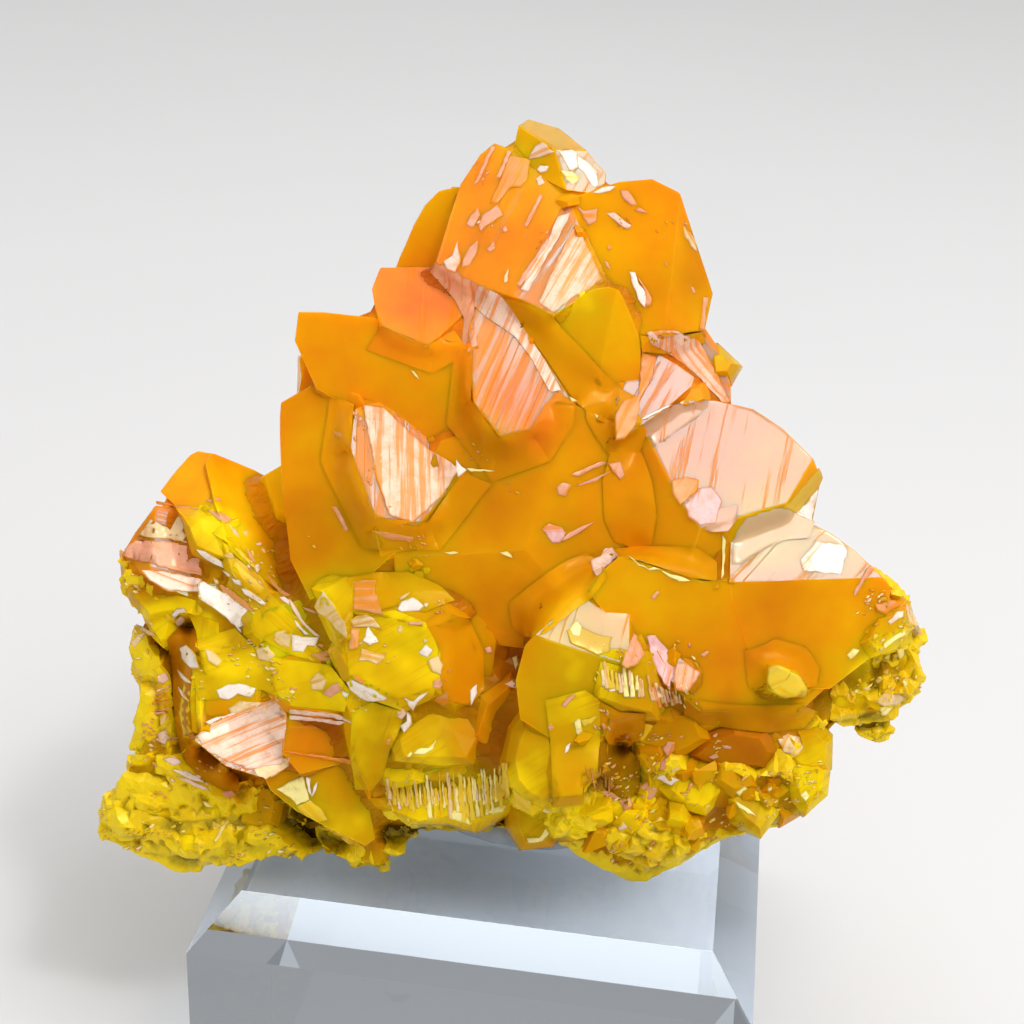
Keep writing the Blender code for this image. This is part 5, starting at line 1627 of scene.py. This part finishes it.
def orpimentMaterial(name, scatter):
    looks, tree, shader = newMaterial(name)
    values = orpimentLooks
    shader.subsurface_method = "BURLEY"
    grain = placeGroup(tree, groups["grain"], Scale=1400.0, Coarse=150.0)
    stripes = placeGroup(tree, groups["stripes"], Axis=attribute(tree, "stripeAxis", "Vector"),
                         Scale=values["stripeScale"], Grooved=attribute(tree, "grooved"))
    cloud = grain.outputs["Cloud"]
    given = attribute(tree, "tone")
    cloudy = scaled(tree, cloud, *values["toneClouds"])
    veined = scaled(tree, stripes.outputs["Height"], *values["toneVeins"])
    tone = plus(tree, plus(tree, given, cloudy), veined, True)
    body = ramp(tree, tone, values["tones"])
    # shade from the tone points, partly painted light and shade, broken up by clouds; paintedFill adds
    # painted light to faces turned away from the lamps
    shade = scaled(tree, cloud, *values["shadeClouds"])
    shade = plus(tree, plus(tree, attribute(tree, "shade"), shade),
                  attribute(tree, "paintedFill"))
    body = mixColour(tree, 1.0, body, shade, "MULTIPLY")
    # painted highlight: the bevelled edges are painted a lighter yellow, broken up by clouds
    edgeHighlight = scaled(tree, cloud, *values["edgeHighlightBreaks"], True)
    edgeHighlight = times(tree, times(tree, attribute(tree, "edge"), edgeHighlight),
                 values["edgeHighlightShare"])
    body = mixColour(tree, edgeHighlight, body, (*values["edgeHighlightColour"], 1))
    # painted reflection: the pale stripes of the shining facets are painted pink or cream over a darkened
    # body, and the grooves between them a deeper red
    pale = attribute(tree, "pale")
    mask = stripes.outputs["Mask"]
    shining = times(tree, pale, mask)
    groove = times(tree, pale, math2(tree, "SUBTRACT", 1.0, mask))
    yellowness = ramp(tree, given, [(0.45, 0.0), (0.75, 1.0)])
    paleColour = mixColour(tree, yellowness, (*values["pinkPale"], 1), (*values["creamPale"], 1))
    colour = mixColour(tree, times(tree, shining, values["shineDarkens"]), body, (0, 0, 0, 1))
    colour = mixColour(tree, times(tree, shining, values["paleShare"]), colour, paleColour)
    colour = mixColour(tree, times(tree, groove, values["grooveShare"]), colour,
                       (*values["groove"], 1))
    # flakes: their painted shine covers the body, broken up by grain and by stripes
    cover = attribute(tree, "cover")
    grit = placeGroup(tree, groups["grain"], Scale=5200.0, Coarse=1500.0)
    broken = plus(tree, scaled(tree, grit.outputs["Height"], *values["coverBreaks"]), cover, True)
    striped = scaled(tree, mask, *values["coverStripes"])
    cover = times(tree, times(tree, cover, broken), striped)
    colour = mixColour(tree, cover, colour, attribute(tree, "paintedShine", "Color"))
    rough = scaled(tree, grain.outputs["Fine"], 0.14, values["roughness"] - 0.06)
    rough = plus(tree, rough, times(tree, groove, values["grooveRoughness"]))
    stripedHeight = times(tree, stripes.outputs["Height"], scaled(tree, pale, 1.0, 0.05))
    height = plus(tree, stripedHeight, times(tree, grain.outputs["Height"], 0.3))
    feed(tree, shader, Base_Color=colour, Roughness=rough, Normal=bumpOf(tree, height, 0.5, 0.00004))
    lit = times(tree, pale, scaled(tree, mask, 0.6, 0.4))
    level = scaled(tree, lit, 0.5 - values["plainSpecular"], values["plainSpecular"])
    shine = mixColour(tree, yellowness, (*values["shiningTint"], 1), (*values["creamTint"], 1))
    tint = mixColour(tree, pale, (*values["plainTint"], 1), shine)
    feed(tree, shader, IOR=values["ior"], Specular_IOR_Level=level, Specular_Tint=tint,
         Subsurface_Weight=0.0 if scatter < 0.1 else 1.0, Subsurface_Radius=(1.0, 0.35, 0.04),
         Subsurface_Scale=scatter * mm)
    return looks


# rock
# plainCavityShade, underside and hollows set the crust's painted shade in hollows and on faces that turn
# downwards
rockSettings = {"voxel": 0.26, "swell": 0.12, "chunk": 2.2, "chunkDepth": 0.5,
                "grit": 0.8, "gritDepth": 0.14, "ripple": 1.3, "rippleDepth": 0.34, "kept": 0.3,
                "blockTop": 19.05, "blockHalf": 19.3, "strokeFlattens": 0.7,
                "plainCavityShade": 0.30, "underside": 0.42, "hollows": 3.2}


def rockBody():
    values = rockSettings
    dense = remeshed(meshOf(nodeMesh("matrix"), "rock_base"), values["voxel"])
    moved = []
    for v in dense.verts:
        chunk = cellOffset(v.co, values["chunk"] * mm, 1.0)
        grit = cellOffset(v.co, values["grit"] * mm, 5.0)
        drawn = Vector((v.co.x * 2.2, v.co.y * 2.2, v.co.z)) / (values["ripple"] * mm)
        ripple = 0.5 - abs(noise.noise(drawn + noise.noise_vector(v.co / (3 * mm)) * 1.2)) * 2
        lift = (values["swell"] + chunk * values["chunkDepth"]
                + grit * values["gritDepth"] + ripple * values["rippleDepth"])
        lift = limited(lift, -0.7, 0.9)
        back = Vector()
        if v.normal.dot(backAxis) > -0.1:
            for (_, push, *_), share in strokeAt(v.co):
                back += backAxis * push * share
                lift *= 1 - values["strokeFlattens"] * share
        moved.append(v.co + (v.normal * lift + back) * mm)
    # nothing hangs into the block
    lowest, half = values["blockTop"] * mm, values["blockHalf"] * mm
    for co in moved:
        if co.z < lowest and abs(co.x) < half and abs(co.y) < half:
            co.z = lowest
    moveTo(dense, moved)
    dense = modified(meshOf(dense, "rock_chipped"), "DECIMATE", ratio=values["kept"])
    cavityShade = dense.verts.layers.float.new("cavityShade")
    tone = dense.verts.layers.float.new("tone")
    for f in dense.faces:
        f.smooth = False
    # painted shade, partly the rock's own darker colour there: cavityShade grows on faces that turn
    # downwards, in hollows and under the strokes' shadow colour
    for v, hollow in zip(dense.verts, hollows(dense, 4)):
        v[cavityShade] = values["plainCavityShade"] + max(0.0, 0.15 - v.normal.z) * values["underside"]
        v[tone] = noise.noise(v.co / (6 * mm)) * 0.5 + 0.4
        if v.normal.dot(backAxis) > -0.1:
            for (_, _, orange, dark, *_), share in strokeAt(v.co):
                v[cavityShade] += (dark - v[cavityShade]) * share
                v[tone] += (orange - v[tone]) * share
        v[cavityShade] = limited(v[cavityShade] + limited(values["hollows"] * hollow, -0.35, 0.6))
    return newPiece("matrix_rock", dense, ["matrix"])


crustLooks = {
    "yellow": (0.86, 0.60, 0.002),
    "orange": (0.80, 0.40, 0.003),
    # olive and brown: painted shade in hollows and on undersides, partly the rock's own darker colour
    "olive": (0.40, 0.27, 0.002),
    "brown": (0.13, 0.075, 0.002),
    "roughness": 0.34,
}


def crustMaterial():
    looks, tree, shader = newMaterial("matrix_crust")
    values = crustLooks
    grain = placeGroup(tree, groups["grain"], Scale=2600.0, Coarse=260.0)
    tone = attribute(tree, "tone")
    patch = ramp(tree, plus(tree, tone, times(tree, grain.outputs["Cloud"], 0.3)),
                 [(0.55, 0.0), (1.0, 1.0)])
    base = mixColour(tree, patch, (*values["yellow"], 1), (*values["orange"], 1))
    # painted shade, partly the rock's own darker colour: olive, and brown where darkest, by cavityShade
    cavityShade = attribute(tree, "cavityShade")
    deep = ramp(tree, cavityShade, [(0.38, 0.0), (0.68, 1.0)])
    base = mixColour(tree, times(tree, deep, 0.8), base, (*values["olive"], 1))
    darkestShade = ramp(tree, cavityShade, [(0.75, 0.0), (1.0, 1.0)])
    base = mixColour(tree, darkestShade, base, (*values["brown"], 1))
    speck = ramp(tree, grain.outputs["Fine"], [(0.35, 0.0), (0.65, 1.0)])
    base = mixColour(tree, times(tree, speck, 0.3), base, (0.95, 0.74, 0.02, 1))
    rough = scaled(tree, grain.outputs["Fine"], 0.4, values["roughness"] - 0.2)
    feed(tree, shader, Base_Color=base, Roughness=rough,
         Normal=bumpOf(tree, grain.outputs["Height"], 0.6, 0.00012))
    feed(tree, shader, IOR=1.45, Specular_IOR_Level=0.5, Specular_Tint=(1.0, 0.85, 0.35, 1))
    return looks


# grains
grainSettings = {"count": 8000, "size": (0.12, 0.46), "prototypes": 9}


def grainPrototypes(seed):
    chance = random.Random(seed)
    shapes = []
    for _ in range(grainSettings["prototypes"]):
        bm = bmesh.new()
        for _ in range(11):
            bm.verts.new(anyWay(chance).normalized() * chance.uniform(0.8, 1.0))
        bmesh.ops.convex_hull(bm, input=bm.verts)
        loose = [v for v in bm.verts if not v.link_faces]
        bmesh.ops.delete(bm, geom=loose, context="VERTS")
        shapes.append(shapeOf(bm))
    return shapes


def scatterPoints(mesh, count, chance):
    mesh.calc_loop_triangles()
    total, marks = 0.0, []
    for t in mesh.loop_triangles:
        total += t.area
        marks.append(total)
    points = []
    for _ in range(count):
        t = mesh.loop_triangles[bisect.bisect_left(marks, chance.uniform(0, total))]
        a, b = chance.random(), chance.random()
        if a + b > 1:
            a, b = 1 - a, 1 - b
        p, q, r = (mesh.vertices[i].co for i in t.vertices)
        points.append((p + (q - p) * a + (r - p) * b, t.normal.copy()))
    return points


def grainCrust(rock):
    chance = random.Random(11)
    shapes = grainPrototypes(3)
    verts, faces, tones = [], [], []
    for at, normal in scatterPoints(rock.data, grainSettings["count"], chance):
        if at.z < 20 * mm and abs(at.x) < 20 * mm and abs(at.y) < 20 * mm:
            continue
        if normal.dot(backAxis) > -0.1 and any(s[4] and share > 0.4 for s, share in strokeAt(at)):
            continue
        size = sizeWithin(grainSettings["size"], chance, 2.2) * mm
        points, sides = chance.choice(shapes)
        turn = Matrix.Rotation(chance.uniform(0, 6.28), 3, anyWay(chance))
        stretch = Vector((chance.uniform(0.6, 1.0), chance.uniform(0.6, 1.0), chance.uniform(0.8, 1.5)))
        start = len(verts)
        centre = at - normal * size * 0.15
        for p in points:
            q = turn @ Vector((p.x * stretch.x, p.y * stretch.y, p.z * stretch.z))
            verts.append(centre + q * size * 0.5)
        faces.extend([[i + start for i in s] for s in sides])
        tones.extend([chance.random()] * len(points))
    mesh = bpy.data.meshes.new("matrix_grains")
    mesh.from_pydata(verts, [], faces)
    layer = mesh.attributes.new("tone", "FLOAT", "POINT")
    layer.data.foreach_set("value", tones)
    return adopt("matrix_grains", mesh)


# putty
puttyLooks = {"colour": (0.52, 0.56, 0.62), "shade": (0.36, 0.40, 0.47), "roughness": 0.6,
              "edge": 0.9, "bulge": 0.10, "waves": 0.05, "dent": 0.25}


def pressedPutty():
    bm = nodeMesh("mounting_putty")
    low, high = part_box("mounting_putty")
    middle = (low + high) / 2
    bmesh.ops.triangulate(bm, faces=bm.faces)
    for _ in range(4):
        long = [e for e in bm.edges if e.calc_length() > puttyLooks["edge"] * mm]
        if not long:
            break
        bmesh.ops.subdivide_edges(bm, edges=long, cuts=1)
        triangulated(bm, 3)
    halfWidth = (high.x - low.x) / 2
    for v in bm.verts:
        flat = Vector((v.co.x - middle.x, v.co.y - middle.y, 0))
        angle = math.atan2(flat.y, flat.x)
        wave = noise.noise(Vector((math.cos(angle) * 1.6, math.sin(angle) * 1.6, 2.0)))
        height = (v.co.z - middle.z) / (high.z - low.z) * 2
        bulge = 1 - puttyLooks["bulge"] * height * height + puttyLooks["waves"] * wave - 0.04
        v.co.x = middle.x + flat.x * min(bulge, 1.0)
        v.co.y = middle.y + flat.y * min(bulge, 1.0)
        dent = noise.noise(v.co / (3 * mm)) * puttyLooks["dent"] * mm
        if flat.length < halfWidth * 0.85:
            v.co.z += dent * (0.4 if height > 0 else 0.0)
    for f in bm.faces:
        f.smooth = True
    return newPiece("putty_pad", bm, ["mounting_putty"])


def puttyMaterial():
    looks, tree, shader = newMaterial("putty")
    values = puttyLooks
    grain = placeGroup(tree, groups["grain"], Scale=1200.0, Coarse=300.0)
    colour = mixColour(tree, ramp(tree, grain.outputs["Cloud"], [(0.4, 0.0), (0.65, 1.0)]),
                       (*values["colour"], 1), (*values["shade"], 1))
    rough = scaled(tree, grain.outputs["Fine"], 0.2, values["roughness"] - 0.1)
    feed(tree, shader, Base_Color=colour, Roughness=rough,
         Normal=bumpOf(tree, grain.outputs["Height"], 0.5, 0.0003))
    return looks


# block
blockLooks = {"tint": (0.74, 0.79, 0.84), "shadow": (0.80, 0.84, 0.89), "ior": 1.49, "edge": 0.18}


def acrylicMaterial():
    looks, tree, shader = newMaterial("acrylic")
    grain = placeGroup(tree, groups["grain"], Scale=900.0, Coarse=60.0)
    rough = ramp(tree, grain.outputs["Cloud"], [(0.55, 0.0), (0.75, 0.035)])
    feed(tree, shader, Base_Color=(*blockLooks["tint"], 1), Roughness=rough,
         Normal=bumpOf(tree, grain.outputs["Cloud"], 0.04, 0.0001))
    feed(tree, shader, IOR=blockLooks["ior"], Transmission_Weight=1.0)
    # lamps reach what is behind the block
    path = addNode(tree, "ShaderNodeLightPath")
    clear = addNode(tree, "ShaderNodeBsdfTransparent")
    clear.inputs["Color"].default_value = (*blockLooks["shadow"], 1)
    mix = addNode(tree, "ShaderNodeMixShader")
    output = tree.nodes["Material Output"]
    spent = math2(tree, "GREATER_THAN", path.outputs["Ray Depth"], 3.5)
    passed = math2(tree, "MAXIMUM", path.outputs["Is Shadow Ray"], spent)
    feed(tree, mix, i0=passed, i1=shader.outputs[0], i2=clear.outputs[0])
    tree.links.new(mix.outputs[0], output.inputs["Surface"])
    return looks


def dressBlock(looks):
    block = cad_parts["display_block"]
    bevel = block.modifiers.new("polished edges", "BEVEL")
    bevel.width = blockLooks["edge"] * mm
    bevel.segments = 2
    bevel.limit_method = "ANGLE"
    block.data.materials.clear()
    block.data.materials.append(looks)
    return block


# stage
def aim(obj, target):
    obj.rotation_mode = "QUATERNION"
    obj.rotation_quaternion = (target - obj.location).to_track_quat("-Z", "Y")


def panel(name, at, width, power, colour=(1, 1, 1)):
    light = bpy.data.lights.new(name, "AREA")
    light.shape = "SQUARE"
    light.size = width
    light.energy = power
    light.color = colour
    lamp = inScene(bpy.data.objects.new(name, light))
    lamp.location = Vector(at)
    aim(lamp, specimenMiddle)
    lamp.visible_camera = False
    return lamp


def studio():
    values = stageSettings
    mesh = bpy.data.meshes.new("floor")
    half = values["floorHalf"]
    corners = ((-half, -half), (half, -half), (half, half), (-half, half))
    mesh.from_pydata([(x, y, values["floorHeight"]) for x, y in corners], [], [(0, 1, 2, 3)])
    floor = inScene(bpy.data.objects.new("floor", mesh))
    looks, tree, shader = newMaterial("floor")
    grain = placeGroup(tree, groups["grain"], Scale=500.0, Coarse=9.0)
    colour = mixColour(tree, grain.outputs["Cloud"], (*values["floorColour"], 1),
                       tuple(c * values["floorShade"] for c in values["floorColour"]) + (1,))
    feed(tree, shader, Base_Color=colour, Roughness=0.6)
    mesh.materials.append(looks)
    floor.visible_glossy = False
    # one lamp for what is mirrored and one, dimmer, for what is lit
    shine = panel("softboxShine", softboxPlace, values["softboxWidth"], values["softboxShine"],
                  values["softboxColour"])
    shine.visible_diffuse = False
    soft = panel("softbox", softboxPlace, values["softboxWidth"], values["softboxPower"],
                 values["softboxColour"])
    soft.visible_glossy = False
    soft.visible_transmission = False
    panel("spark", sparkPlace, values["sparkWidth"], values["sparkPower"])
    panel("topPanel", **values["topPanel"])
    world = bpy.context.scene.world or bpy.data.worlds.new("world")
    bpy.context.scene.world = world
    world.use_nodes = True
    sky = world.node_tree.nodes["Background"]
    sky.inputs["Color"].default_value = (*values["worldColour"], 1)
    tree = world.node_tree
    path = addNode(tree, "ShaderNodeLightPath")
    deep = math2(tree, "GREATER_THAN", path.outputs["Ray Depth"], 1.5)
    passing = math2(tree, "MAXIMUM", path.outputs["Is Transmission Ray"], deep)
    mirrored = math2(tree, "SUBTRACT", path.outputs["Is Glossy Ray"], passing, True)
    dimmed = scaled(tree, mirrored, values["worldMirrored"] - values["worldStrength"],
                    values["worldStrength"])
    # what is seen through the block is dimmer where it looks out level or upwards
    way = addNode(tree, "ShaderNodeTexCoord")
    split = addNode(tree, "ShaderNodeSeparateXYZ")
    feed(tree, split, Vector=way.outputs["Generated"])
    height = scaled(tree, split.outputs["Z"], 0.5, 0.5)
    dark = ramp(tree, height, values["seenThrough"])
    through = math2(tree, "GREATER_THAN", path.outputs["Transmission Depth"], 0.5)
    away = times(tree, through, dark)
    dimmed = times(tree, dimmed, math2(tree, "SUBTRACT", 1.0, away))
    tree.links.new(dimmed, sky.inputs["Strength"])


def camera():
    lens = bpy.data.cameras.new("camera")
    lens.sensor_width = viewpoint["sensorWidth"]
    lens.lens = viewpoint["sensorWidth"] * viewpoint["focal"] / (2 * viewpoint["pictureMiddle"])
    lens.clip_start = 0.001
    lens.clip_end = 20
    body = inScene(bpy.data.objects.new("camera", lens))
    pose = Matrix((rightAxis, upAxis, backAxis)).transposed().to_4x4()
    pose.translation = eye
    body.matrix_world = pose
    bpy.context.scene.camera = body


def finished(piece, material, report):
    piece.data.materials.append(material)
    print(report, len(piece.data.polygons))
    return piece


camera()
studio()
print("stage ready")
orpiment = orpimentMaterial("orpiment", orpimentLooks["scatterDepth"])
chips = orpimentMaterial("orpiment_chips", orpimentLooks["chipScatterDepth"])
leaves = orpimentMaterial("orpiment_flakes", orpimentLooks["flakeScatterDepth"])
crust = crustMaterial()
cluster = finished(crystalCluster(), orpiment, "crystals cut")
rock = finished(rockBody(), crust, "rock shaped")
steps = finished(bodySteps((cluster, rock)), chips, "steps cleaved")
ground = finished(groundMass(cluster, rock, steps), chips, "clefts filled")
spans = finished(spanSheets((cluster, rock, ground, steps)), chips, "sheets spanned")
druse = finished(smallCrystals(cluster, rock), chips, "small crystals grown")
traced = [(kind, angle, outlineOf(points)) for kind, angle, points in shiningFacets]
hosts = (cluster, rock, ground, steps, spans)
finished(flakePiece("cleavage_flakes", traced, hosts, flakeSettings["lift"]), leaves, "flakes cleaved")
finished(flakePiece("cleavage_splinters", fibres() + flecks(), (*hosts, druse),
                    flakeSettings["splinterLift"]), leaves, "splinters cleaved")
finished(grainCrust(rock), crust, "grains scattered")
pressedPutty().data.materials.append(puttyMaterial())
dressBlock(acrylicMaterial())
bpy.context.scene.view_settings.view_transform = "Standard"
